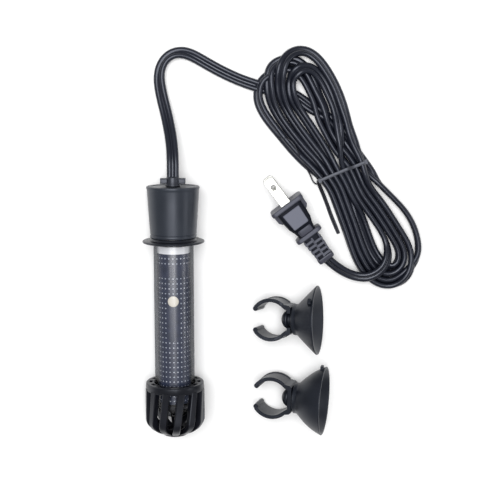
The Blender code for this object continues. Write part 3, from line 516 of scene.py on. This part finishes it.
def loft(rings, cap=True):
    bm = bmesh.new()
    made = [[bm.verts.new(p) for p in ring] for ring in rings]
    for one, two in zip(made, made[1:]):
        for i in range(len(one)):
            j = (i + 1) % len(one)
            bm.faces.new((one[i], one[j], two[j], two[i]))
    if cap:
        bm.faces.new(made[0][::-1])
        bm.faces.new(made[-1])
    return bm


# ---- the cord, its tie and its plug ---------------------------------------------------------
def cord_section(steps=9):
    """The outline of the twin cord: two round cores with a groove each side between them."""
    half = LOBE_APART / 2
    start = math.degrees(math.asin(WEB_HALF / LOBE_R))
    ring = []
    for side in (1, -1):
        for k in range(steps + 1):
            a = math.radians(-180 + start + (360 - 2 * start) * k / steps)
            ring.append((side * (half + LOBE_R * math.cos(a)), side * LOBE_R * math.sin(a)))
    return ring


def make_cord():
    route = [(*point, roll) for point, roll in zip(EXIT_ROUTE, EXIT_ROLL)] + wound_cord()
    cores = settle(spread_evenly(route, LAID_STEP))
    rough = smoothed(np.concatenate([cores[:, 0], cores[:, 1]], axis=1), 2)
    run = np.concatenate([[0], np.cumsum(np.linalg.norm(np.diff(rough[:, :3], axis=0), axis=1))])
    goal = np.linspace(0, run[-1], round(run[-1] / SHOWN_STEP) + 1)
    fine = smoothed(np.stack([np.interp(goal, run, rough[:, k]) for k in range(6)], axis=1), 3)
    one, two = fine[:, :3], fine[:, 3:]
    middle = (one + two) / 2
    broad = two - one
    broad /= np.linalg.norm(broad, axis=1)[:, None]
    tangent = np.gradient(middle, axis=0)
    thin = np.cross(tangent, broad)
    thin /= np.linalg.norm(thin, axis=1)[:, None]
    section = cord_section()
    rings = [[tuple(m + b * u + t * v) for u, v in section] for m, b, t in zip(middle, broad, thin)]
    cord = piece("mains_cord", loft(rings), "cord", "heater", ("cord_exit", "cord_hank", "cord_tail"),
                 smooth=50)
    return cord, [tuple(float(c) * MM for c in point) for point in middle]


cord, cord_path = make_cord()


def plug_frame():
    return Matrix.Translation(Vector(PLUG_FACE)) @ Matrix.Rotation(PLUG_TURN, 4, "Z")


def rounded_ring(x, wide, high, corner, steps=6):
    """A rectangle with round corners across the plug, at x along it."""
    ring = []
    for cx, cz, first in ((1, 1, 0), (-1, 1, 90), (-1, -1, 180), (1, -1, 270)):
        for k in range(steps + 1):
            a = math.radians(first + 90 * k / steps)
            ring.append((x, cx * (wide - corner) + corner * math.cos(a),
                         cz * (high - corner) + corner * math.sin(a)))
    return ring


def plug_loft(sections):
    return loft([rounded_ring(*section) for section in sections])


def make_plug_shell():
    """Face plate with finger grips, step, collar and the bars of the slotted boot."""
    shells = [
        [(0.0, 10.3, 9.6, 2.2), (0.5, 10.7, 10.0, 2.4), (2.3, 10.7, 10.0, 2.4), (2.8, 10.3, 9.6, 2.2)],
        [(17.4, 4.2, 7.1, 1.4), (18.0, 4.4, 7.2, 1.6), (20.8, 4.4, 6.4, 1.6), (21.4, 4.2, 6.2, 1.4)],
        [(21.6, 8.0, 5.6, 2.2), (22.0, 8.5, 6.0, 2.4), (24.0, 8.5, 6.0, 2.4), (24.4, 8.0, 5.6, 2.2)],
        [(38.6, 5.0, 4.3, 1.4), (39.0, 5.3, 4.6, 1.5), (41.0, 5.1, 4.4, 1.5), (41.6, 4.7, 4.0, 1.4)],
    ]
    boot_middle, boot_long, bar_pitch = 32.0, 13.6, 3.0
    parts = [plug_loft(shell) for shell in shells]
    for side in (1, -1):
        # finger grip behind the face plate
        grip = []
        for x, wide in ((2.6, 10.4), (7.6, 10.1), (9.4, 8.6)):
            grip.append([(x, side * y, z) for y, z in ((7.4, -9.2), (wide, -8.8), (wide, 2.6), (7.4, 3.2))])
        parts.append(loft(grip))
        # boot: bars on the left and on the right of its spine, out of step
        for level in range(4):
            x = 27.0 + bar_pitch * level + (0.0 if side < 0 else bar_pitch / 2)
            wide, high = 5.5 - 0.2 * level, 4.8 - 0.12 * level
            parts.append(block((1.7, wide, 2 * high), (x, side * wide / 2, 0)))
        lean = Matrix.Rotation(side * -0.035, 4, "Z")
        parts.append(block((boot_long, 0.9, 7.8), (boot_middle, side * 4.5, 0), lean))
    parts.append(block((boot_long, 1.3, 9.0), (boot_middle, 0, 0)))
    return piece("plug_shell", join(parts), "plug", "heater", ("plug_body",), plug_frame(),
                 bevel=0.3)


def make_plug_core():
    """The darker body under the pads, and the inside of the boot that shows in its slots."""
    sections = [
        [(2.6, 8.3, 8.4, 2.0), (3.4, 8.2, 8.3, 2.2), (9.0, 8.0, 8.2, 2.4), (13.6, 7.6, 7.8, 2.6),
         (15.6, 7.0, 7.0, 2.8), (18.0, 6.1, 6.3, 2.8), (21.8, 5.5, 5.4, 2.4)],
        [(24.2, 5.0, 4.3, 1.6), (38.8, 4.2, 3.6, 1.4)],
    ]
    return piece("plug_core", join([plug_loft(shell) for shell in sections]), "core", "heater", (),
                 plug_frame(), bevel=0.3)


def make_plug_pads():
    """A raised pad on each broad face of the body."""
    foot = [(4.4, -5.6), (4.8, -6.0), (15.2, -5.2), (15.8, -4.6)]
    top = [(4.7, -5.3), (5.0, -5.6), (14.9, -4.9), (15.4, -4.4)]
    pads = []
    for side in (1, -1):
        pad = loft([[(x, y, height) for x, y in half] + [(x, -y, height) for x, y in reversed(half)]
                    for half, height in ((foot, 0), (top, 1.1))])
        bmesh.ops.scale(pad, vec=(1, 1, side), verts=pad.verts)
        bmesh.ops.translate(pad, vec=(0, 0, side * 7.4), verts=pad.verts)
        pads.append(pad)
    return piece("plug_pads", join(pads), "pad", "heater", (), plug_frame(), bevel=0.3)


def make_blade(name, side):
    """A flat mains blade with a round hole near its tip."""
    thick, half_apart, hole_at, hole_r = 1.5, 6.35, -11.9, 1.6
    outline = [(-17.9, -2.1), (-16.6, -3.17), (0.4, -3.17), (0.4, 3.17), (-16.6, 3.17), (-17.9, 2.1)]
    hole = [(hole_at + hole_r * math.cos(a), hole_r * math.sin(a))
            for a in (math.tau * k / 32 for k in range(32))]
    bm = bmesh.new()
    edges = []
    for ring in (outline, hole):
        verts = [bm.verts.new((x, y, thick / 2)) for x, y in ring]
        edges += [bm.edges.new((a, b)) for a, b in zip(verts, verts[1:] + verts[:1])]
    bmesh.ops.triangle_fill(bm, use_beauty=True, use_dissolve=False, edges=edges)
    grown = bmesh.ops.extrude_face_region(bm, geom=bm.faces[:])
    bmesh.ops.translate(bm, vec=(0, 0, -thick), verts=new_verts(grown))
    bmesh.ops.translate(bm, vec=(0, 0, side * half_apart), verts=bm.verts)
    return piece(name + "_metal", bm, "blade", "heater", (name,), plug_frame(),
                 bevel=0.22)


def make_plug():
    return [make_plug_shell(), make_plug_core(), make_plug_pads(),
            make_blade("plug_blade_upper", 1), make_blade("plug_blade_lower", -1)]


def strip_along(points, wide, thick):
    """A flat strip through the points, its broad side facing up."""
    line = [Vector(p) for p in points]
    rings = []
    for k, point in enumerate(line):
        along = (line[min(k + 1, len(line) - 1)] - line[max(k - 1, 0)]).normalized()
        across = along.cross(Vector((0, 0, 1))).normalized()
        top = across.cross(along)
        rings.append([tuple(point + across * (a * wide / 2) + top * (b * thick / 2))
                      for a, b in ((-1, -0.6), (-0.7, -1), (0.7, -1), (1, -0.6),
                                   (1, 0.6), (0.7, 1), (-0.7, 1), (-1, 0.6))])
    return loft(rings)


def wire_along(points, radius, sides=8):
    """A thin round wire on a smooth curve through the points."""
    line = [Vector(p[:3]) for p in spread_evenly([(*p, 0) for p in points], 0.8)]
    rings = []
    for k, point in enumerate(line):
        along = (line[min(k + 1, len(line) - 1)] - line[max(k - 1, 0)]).normalized()
        across = along.cross(Vector((0.13, 0.21, 0.97))).normalized()
        top = across.cross(along)
        rings.append([tuple(point + (across * math.cos(a) + top * math.sin(a)) * radius)
                      for a in (math.tau * q / sides for q in range(sides))])
    return loft(rings)


def over_bundle(across):
    """Height of the tie above a place across the bundle: higher where the strands lie double."""
    step = min(1.0, max(0.0, (across - 3.5) / 4.5))
    return TIE_TOP + TIE_RISE * step * step * (3 - 2 * step)


def make_tie_band():
    """The flat strip over the bundle, and a wire down each side of it."""
    left, right, steps = -13.8, 15.0, 24
    over = []
    for k in range(steps + 1):
        across = left + (right - left) * k / steps
        over.append(tie_point(across) + (over_bundle(across),))
    down = []
    for start, out in ((right, 1), (left, -1)):
        down.append([tie_point(start + 0.5 * out) + (z,) for z in (4.6, 2.2)]
                    + [tie_point(start - 0.4 * out) + (0.9,)])
    knots = [block((1.7, 2.7, 1.6), over[at], Matrix.Rotation(TIE_TURN, 4, "Z")) for at in (0, -1)]
    band = join([strip_along(over, 1.9, 0.8), wire_along([over[-1]] + down[0], 0.6),
                 wire_along([over[0]] + down[1], 0.6)] + knots)
    return piece("tie_band", band, "tie", "heater", ("twist_tie",), None, bevel=0.16)


def make_tie_tails():
    """The tie's two twisted ends: a long double tail, and a thin one bent back to the left."""
    twist = (47.6, 74.2, 4.6)
    tails = join([
        wire_along([twist, (48.2, 71.6, 3.4), (51.0, 65.2, 2.0), (53.4, 59.2, 1.4), (55.4, 53.8, 1.1),
                    (58.2, 47.0, 1.0), (60.1, 42.2, 1.0)], 0.62),
        wire_along([(46.8, 73.8, 4.2), (47.4, 71.2, 3.0), (50.0, 65.0, 1.6), (52.4, 59.0, 1.1),
                    (54.4, 53.4, 0.9), (57.2, 46.6, 0.8), (59.3, 42.0, 0.8)], 0.62),
        wire_along([(47.7, 75.0, 5.2), (46.6, 72.0, 4.0), (44.4, 73.0, 3.0), (42.4, 77.2, 3.0),
                    (40.2, 81.4, 3.6), (37.0, 86.8, 5.6), (34.2, 92.2, 7.4)], 0.45),
        wire_along([(34.2, 92.2, 7.4), (32.4, 95.4, 7.6), (29.6, 98.2, 7.2), (26.4, 99.4, 6.0),
                    (22.9, 98.9, 4.0)], 0.38),
        wire_along([twist, (49.4, 76.0, 5.8), (48.8, 77.6, 6.4), (46.8, 77.0, 6.2),
                    (46.4, 75.0, 5.0)], 0.42),
        wire_along([(50.0, 73.0, 5.4), (48.9, 73.6, 5.0), twist], 0.5),
    ])
    return piece("tie_tails", tails, "wire", "heater", (), None)


# ---- the heater -----------------------------------------------------------------------------
CAP_START = -1.8        # outer face of the lid
TUBE_R, TUBE_END, TUBE_DOME = 11.6, 135.0, 9.0
FLANGE_AT, SLEEVE_R, WINDOW_AT = 30.2, 9.6, 64.0
GUARD_START, GUARD_END, GUARD_R, GUARD_DOME, GUARD_RIBS = 113.7, 145.7, 17.4, 10.0, 12
GUARD_TWIST = math.radians(12)


def make_housing():
    top, end = CAP_START, 27.8
    slope = (13.3 - 15.15) / (end - top)
    cap = [(14.1, top + 2.2), (14.1, top + 0.3)] + rounded_corner((14.75, top + 0.62), 0.62, -120, 0)[1:]
    cap += [(15.3, top + 1.3), (15.1, top + 1.9)]
    cap += [(15.15 + slope * (z - top), z) for z in (top + 2.6, 8.0, 16.0, 25.5)]
    cap += [(13.18, 25.8), (13.18, 26.1), (13.42, 26.35), (13.54, 27.3), (13.3, end), (12.0, end),
            (12.0, top + 2.2)]
    piece("cap_body", lathe(cap, 128, True), "cap", "heater", ("cap_shell",), HEATER)
    lid = [(4.2, top + 0.3), (12.4, top + 0.3), (12.7, top), (13.5, top), (13.8, top + 0.25),
           (13.8, top + 1.9), (4.2, top + 1.9)]
    piece("cap_disc", lathe(lid, 128, True), "cap", "heater", ("cap_lid",), HEATER)
    z = FLANGE_AT
    flange = [(11.9, z - 2.0), (12.9, z - 2.0), (13.2, z - 1.6), (13.5, z - 0.95), (15.6, z - 0.75),
              (17.2, z - 0.75), (17.8, z - 0.45), (18.0, z), (17.7, z + 0.55), (17.0, z + 0.8),
              (14.6, z + 0.5), (13.6, z + 0.6), (13.2, z + 1.4), (11.9, z + 1.4)]
    piece("flange_disc", lathe(flange, 128, True), "flange", "heater", ("flange_collar",), HEATER)


def make_gland():
    boss = lathe([(0.0, -5.35), (3.3, -5.35), (3.7, -5.0), (3.8, -4.2), (3.9, -1.4), (4.4, -0.6),
                  (4.4, -0.05), (0.0, -0.05)], 64)
    lugs = []
    for side in (1, -1):
        # each lug is a frame round a shallow recess, on both faces
        lugs.append(block((4.6, 3.2, 3.1), (side * 4.9, 0, -3.0)))
        for face in (1, -1):
            for size, centre in (((4.6, 0.7, 0.55), (4.9, 0, -4.25)), ((4.6, 0.7, 0.55), (4.9, 0, -1.75)),
                                 ((0.55, 0.7, 3.1), (6.95, 0, -3.0))):
                lugs.append(block(size, (side * centre[0], face * 1.9, centre[2])))
    bm = join([boss] + lugs)
    bmesh.ops.translate(bm, vec=(0, 0, CAP_START), verts=bm.verts)
    piece("gland_boss", bm, "gland", "heater", ("cord_gland",), HEATER, bevel=0.2)


def make_tube():
    wall = [(TUBE_R, 12.0), (TUBE_R, 40.0), (TUBE_R, 80.0)]
    wall += [(TUBE_R * math.cos(a), TUBE_END - TUBE_DOME * (1 - math.sin(a)))
             for a in (math.pi / 2 * k / 14 for k in range(14))]
    wall.append((0.0, TUBE_END))
    piece("tube_wall", lathe(wall, 128), "glass", "heater", ("glass_tube",), HEATER,
          smooth=60)


def make_label():
    film = [(9.3, 32.5), (SLEEVE_R, 32.5), (SLEEVE_R, 60.0), (SLEEVE_R, 90.0),
            (SLEEVE_R, 125.3), (9.3, 125.3)]
    piece("label_film", lathe(film, 128, True), "label", "heater", ("label_sleeve",), HEATER)


def make_window(sides=48):
    """A low round dome on the sleeve, over the lamp."""
    bm = bmesh.new()
    rings = []
    for reach, rise in ((0.05, 0.32), (1.2, 0.31), (2.3, 0.27), (2.9, 0.20), (3.15, 0.02)):
        rings.append([])
        for k in range(sides):
            a = math.tau * k / sides
            x, along = reach * math.cos(a), reach * math.sin(a)
            height = math.sqrt(SLEEVE_R ** 2 - x * x) + rise
            rings[-1].append(bm.verts.new((x, height, WINDOW_AT + along)))
    for one, two in zip(rings, rings[1:]):
        for i in range(sides):
            j = (i + 1) % sides
            bm.faces.new((one[i], one[j], two[j], two[i]))
    bm.faces.new(rings[0])
    piece("window_lens", bm, "lens", "heater", ("indicator_lens",), HEATER)


def make_guard():
    pitch = math.tau / GUARD_RIBS
    collar_end = GUARD_START + 4.2
    collar = [(12.1, GUARD_START + 0.2), (12.4, GUARD_START), (13.2, GUARD_START), (13.2, GUARD_START + 1.2),
              (15.1, GUARD_START + 1.2), (15.1, GUARD_START), (16.6, GUARD_START), (17.0, GUARD_START + 0.4),
              (17.25, collar_end - 0.3), (17.1, collar_end), (12.1, collar_end)]
    parts = [lathe(collar, 128, True)]
    for k in range(GUARD_RIBS):
        # spokes between the collar's vents
        turn = pitch * (k + 0.5)
        centre = (14.2 * math.cos(turn), 14.2 * math.sin(turn), GUARD_START + 0.66)
        parts.append(block((2.2, 3.4, 1.3), centre, Matrix.Rotation(turn, 4, "Z")))
    hub = [(3.6, GUARD_END - 2.0), (3.6, GUARD_END - 0.3), (3.9, GUARD_END), (6.9, GUARD_END),
           (7.6, GUARD_END - 0.5), (7.6, GUARD_END - 2.0)]
    parts.append(lathe(hub, 64, True))
    half_wide, thick = 2.1, 3.3
    low, high, dome_start = collar_end - 0.8, GUARD_END, GUARD_END - GUARD_DOME
    path = [(GUARD_R, low + (dome_start - low) * k / 8, 0.0) for k in range(9)]
    path += [(GUARD_R * math.cos(a), dome_start + GUARD_DOME * math.sin(a), a)
             for a in (math.radians(70) * k / 10 for k in range(1, 11))]
    for rib in range(GUARD_RIBS):
        rings = []
        for r, z, a in path:
            turn = pitch * (rib + 0.5) + GUARD_TWIST * (z - low) / (high - low)
            out = Vector((math.cos(turn) * math.cos(a), math.sin(turn) * math.cos(a), math.sin(a)))
            side = Vector((-math.sin(turn), math.cos(turn), 0))
            spot = Vector((r * math.cos(turn), r * math.sin(turn), z))
            half = min(half_wide, r * math.tan(pitch * 0.42) + 0.2)
            rings.append([tuple(spot + side * (u * half) - out * d) for u, d in
                          ((-1, 0.4), (-0.78, 0.05), (0.78, 0.05), (1, 0.4), (0.92, thick), (-0.92, thick))])
        parts.append(loft(rings))
    piece("guard_cage", join(parts), "guard", "guard", ("guard_basket",), HEATER)


# ---- clips and suction cups: X runs along the stud, from the clip to the cup's rim ----------
CUP_RIM_R, CLIP_BAND, CLIP_WALL, CLIP_INNER_R, CLIP_REACH = 20.3, 14.0, 2.2, 10.5, 11.2
STUD_R, STUD_HEAD_R, SHOULDER_X, SHOULDER_R = 3.7, 5.6, 1.6, 9.2
CLIP_SETS = {
    "upper": {"plate": (31.4, -6.9, 15.4), "lean": 20.5, "yaw": 2.0, "depth": 14.2, "belly": 0.0,
              "roll": -6.0, "slot_up": True, "tab_turn": 47},
    "lower": {"plate": (31.9, -54.6, 14.5), "lean": 18.6, "yaw": -2.0, "depth": 18.0, "belly": 0.3,
              "roll": 0.0, "slot_up": False, "tab_turn": 4},
}
RIM_LEAN = 14.0         # degrees that a cup's rim leans back, less than its stud does


def extrude_outline(outline, low, high):
    bm = bmesh.new()
    base = bm.faces.new([bm.verts.new((x, y, low)) for x, y in outline])
    grown = bmesh.ops.extrude_face_region(bm, geom=[base])
    bmesh.ops.translate(bm, vec=(0, 0, high - low), verts=new_verts(grown))
    return bm


def arc_points(radius, first, last, steps):
    return [(-CLIP_REACH + radius * math.cos(math.radians(first + (last - first) * k / steps)),
             radius * math.sin(math.radians(first + (last - first) * k / steps))) for k in range(steps + 1)]


def clip_parts():
    """Two arms with a low lip along each edge and a bead at each tip, on a back plate."""
    outer_r = CLIP_INNER_R + CLIP_WALL
    arm = ([(1.1, 7.7), (0.1, 8.7)] + arc_points(outer_r - 0.35, 48, 147, 26)
           + arc_points(CLIP_INNER_R, 147, 48, 26) + [(-2.7, 6.6), (-1.1, 5.6)])
    outline = arm + [(x, -y) for x, y in reversed(arm)]
    half, lip_wide = CLIP_BAND / 2, 1.4
    parts = [extrude_outline(outline, -half, half)]
    tip, tip_r = math.radians(146), 11.35
    for hand in (1, -1):
        lip = arc_points(outer_r, 50, 143, 24) + arc_points(outer_r - 0.9, 143, 50, 24)
        for low, high in ((-half, -half + lip_wide), (half - lip_wide, half)):
            parts.append(extrude_outline([(x, hand * y) for x, y in lip], low, high))
        bead = lathe([(0, -6.7), (1.1, -6.7), (1.5, -6.3), (1.5, 6.3), (1.1, 6.7), (0, 6.7)], 24)
        centre = (-CLIP_REACH + tip_r * math.cos(tip), hand * tip_r * math.sin(tip), 0)
        bmesh.ops.translate(bead, vec=centre, verts=bead.verts)
        parts.append(bead)
    return parts


def notch_cutter(slot_up, stand):
    """A spare object in the shape of the slot that the cup's stud goes into."""
    reach = 1 if slot_up else -1
    width = STUD_R + 0.5
    notch = [(width * math.cos(a), width * math.sin(a))
             for a in (math.pi + math.pi * k / 24 for k in range(25))]
    notch += [(width, CLIP_BAND), (-width, CLIP_BAND)]
    bm = extrude_outline(notch, -3.4, 4.0)
    upright = Matrix(((0, 0, 1), (1, 0, 0), (0, reach, 0))).to_4x4()
    for matrix in (upright, stand):
        bmesh.ops.transform(bm, matrix=matrix, verts=bm.verts)
    bmesh.ops.scale(bm, vec=(MM, MM, MM), verts=bm.verts)
    bmesh.ops.recalc_face_normals(bm, faces=bm.faces)
    mesh = bpy.data.meshes.new("notch")
    bm.to_mesh(mesh)
    bm.free()
    cutter = bpy.data.objects.new("notch", mesh)
    bpy.context.scene.collection.objects.link(cutter)
    return cutter


def cut_away(target, cutter):
    """Cut the cutter's shape out of the target's mesh for good, and remove the cutter."""
    step = target.modifiers.new("Cut", "BOOLEAN")
    step.object = cutter
    step.operation = "DIFFERENCE"
    step.solver = "EXACT"
    step.use_self = True
    bpy.context.view_layer.update()
    graph = bpy.context.evaluated_depsgraph_get()
    cut = bpy.data.meshes.new_from_object(target.evaluated_get(graph))
    target.modifiers.clear()
    target.data = cut
    cut.set_sharp_from_angle(angle=math.radians(35))
    bpy.data.objects.remove(cutter)


def make_clip(side, place, stand):
    """C-shaped spring clip, with a slot for the cup's stud in its back plate."""
    cutter = notch_cutter(place["slot_up"], stand)
    clip = piece("clip_band_" + side, join(clip_parts()), "clip", side + "_clip", ("clip_" + side,), stand)
    cut_away(clip, cutter)
    soften = clip.modifiers.new("Bevel", "BEVEL")
    soften.width = 0.3 * MM
    soften.segments = 2
    soften.limit_method = "ANGLE"
    soften.angle_limit = math.radians(40)


def bend(bm, start, length, angle):
    """Curve the shape about Y from start on, so that it has turned by the angle after the length."""
    for v in bm.verts:
        along = v.co.x - start
        if along > 0:
            turn = angle * min(along / length, 1.0)
            base = Vector((start + along * math.cos(turn / 2), 0, -along * math.sin(turn / 2)))
            v.co = base + Vector((math.sin(turn), 0, math.cos(turn))) * v.co.z + Vector((0, v.co.y, 0))


def make_cup(side, place, stand):
    depth, rim = place["depth"], SHOULDER_X + place["depth"]
    outside, inside = [], []
    for k in range(19):
        share = k / 18
        r = (SHOULDER_R + 0.2 + (CUP_RIM_R - 0.25 - SHOULDER_R - 0.2) * share
             + place["belly"] * math.sin(math.pi * share) * 4.0)
        outside.append((r, SHOULDER_X + 2.7 + (depth - 3.5) * share))
        if k > 2:
            inside.append((r - 1.3, SHOULDER_X + 4.4 + (depth - 4.9) * share))
    profile = [(0.0, -6.2), (1.6, -6.0), (3.0, -5.4), (4.3, -4.5), (5.2, -3.3), (STUD_HEAD_R, -2.5),
               (STUD_HEAD_R - 0.15, -1.8), (STUD_R + 0.3, -1.5), (STUD_R, -1.2), (STUD_R, SHOULDER_X),
               (SHOULDER_R - 0.5, SHOULDER_X), (SHOULDER_R, SHOULDER_X + 0.5),
               (SHOULDER_R, SHOULDER_X + 2.2), *outside, (CUP_RIM_R - 0.08, rim - 0.5),
               (CUP_RIM_R - 0.15, rim - 0.05), (CUP_RIM_R - 1.1, rim), *reversed(inside),
               (SHOULDER_R - 3.0, SHOULDER_X + 5.0), (3.0, SHOULDER_X + 5.3), (0.0, SHOULDER_X + 5.4)]
    cup = lathe(profile, 128)
    bmesh.ops.rotate(cup, cent=(0, 0, 0), matrix=Matrix.Rotation(math.pi / 2, 3, "Y"), verts=cup.verts)
    tab = block((1.7, 4.4, 3.4), (rim - 2.0, CUP_RIM_R - 0.9, 0))
    bmesh.ops.rotate(tab, cent=(0, 0, 0), matrix=Matrix.Rotation(math.radians(place["tab_turn"]), 3, "X"),
                     verts=tab.verts)
    for shape in (cup, tab):
        bend(shape, SHOULDER_X + 2.0, depth - 2.0, math.radians(place["lean"] - RIM_LEAN))
    piece("cup_" + side, join([cup, tab]), "cup", side + "_cup", ("suction_cup_" + side,), stand,
          smooth=40, bevel=0.22)


def make_clip_set(side):
    place = CLIP_SETS[side]
    stand = (Matrix.Translation(Vector(place["plate"]))
             @ Matrix.Rotation(math.radians(place["yaw"]), 4, "Z")
             @ Matrix.Rotation(math.radians(-place["lean"]), 4, "Y"))
    make_clip(side, place, stand @ Matrix.Rotation(math.radians(place["roll"]), 4, "X"))
    make_cup(side, place, stand)


on_cord = make_plug() + [make_tie_band(), make_tie_tails()]
make_housing()
make_gland()
make_tube()
make_label()
make_window()
make_guard()
for set_name in CLIP_SETS:
    make_clip_set(set_name)

# ---- floor and light ------------------------------------------------------------------------
# name, place, power in watts, width and length; metres, and each is turned to one spot of the floor
LAMPS = [
    ("softbox", (-0.10, 0.22, 1.10), 12.6, 0.75, 0.75),
    ("strip", (0.06, 0.0, 1.0), 0.9, 0.04, 0.8),
    ("side", (0.95, 0.05, 0.50), 1.6, 0.3, 0.8),
]
LAMP_AIM = (0.02, 0.0, 0.0)


def make_floor():
    bm = bmesh.new()
    bmesh.ops.create_grid(bm, x_segments=1, y_segments=1, size=3.0)
    mesh = bpy.data.meshes.new("floor")
    bm.to_mesh(mesh)
    bm.free()
    floor = bpy.data.objects.new("floor", mesh)
    bpy.context.scene.collection.objects.link(floor)
    made, _, shader = new_material("white_paper")
    shader.inputs["Base Color"].default_value = (0.93, 0.93, 0.93, 1)
    shader.inputs["Emission Color"].default_value = (1, 1, 1, 1)
    shader.inputs["Emission Strength"].default_value = 0.04
    shader.inputs["Roughness"].default_value = 0.9
    shader.inputs["Specular IOR Level"].default_value = 0.1
    mesh.materials.append(made)


def make_lamp(name, place, watts, wide, long):
    data = bpy.data.lights.new(name, "AREA")
    data.shape = "RECTANGLE"
    data.energy = watts
    data.size = wide
    data.size_y = long
    lamp = bpy.data.objects.new(name, data)
    lamp.location = place
    away = (Vector(place) - Vector(LAMP_AIM)).normalized()
    across = Vector((0, 1, 0)).cross(away).normalized()
    lamp.rotation_euler = Matrix((across, away.cross(across), away)).transposed().to_euler()
    bpy.context.scene.collection.objects.link(lamp)


def make_world():
    world = bpy.data.worlds.new("studio")
    world.use_nodes = True
    sky = world.node_tree.nodes["Background"]
    sky.inputs["Color"].default_value = (1, 1, 1, 1)
    sky.inputs["Strength"].default_value = 0.33
    bpy.context.scene.world = world
    bpy.context.scene.view_settings.view_transform = "Standard"


make_floor()
for lamp_facts in LAMPS:
    make_lamp(*lamp_facts)
make_world()
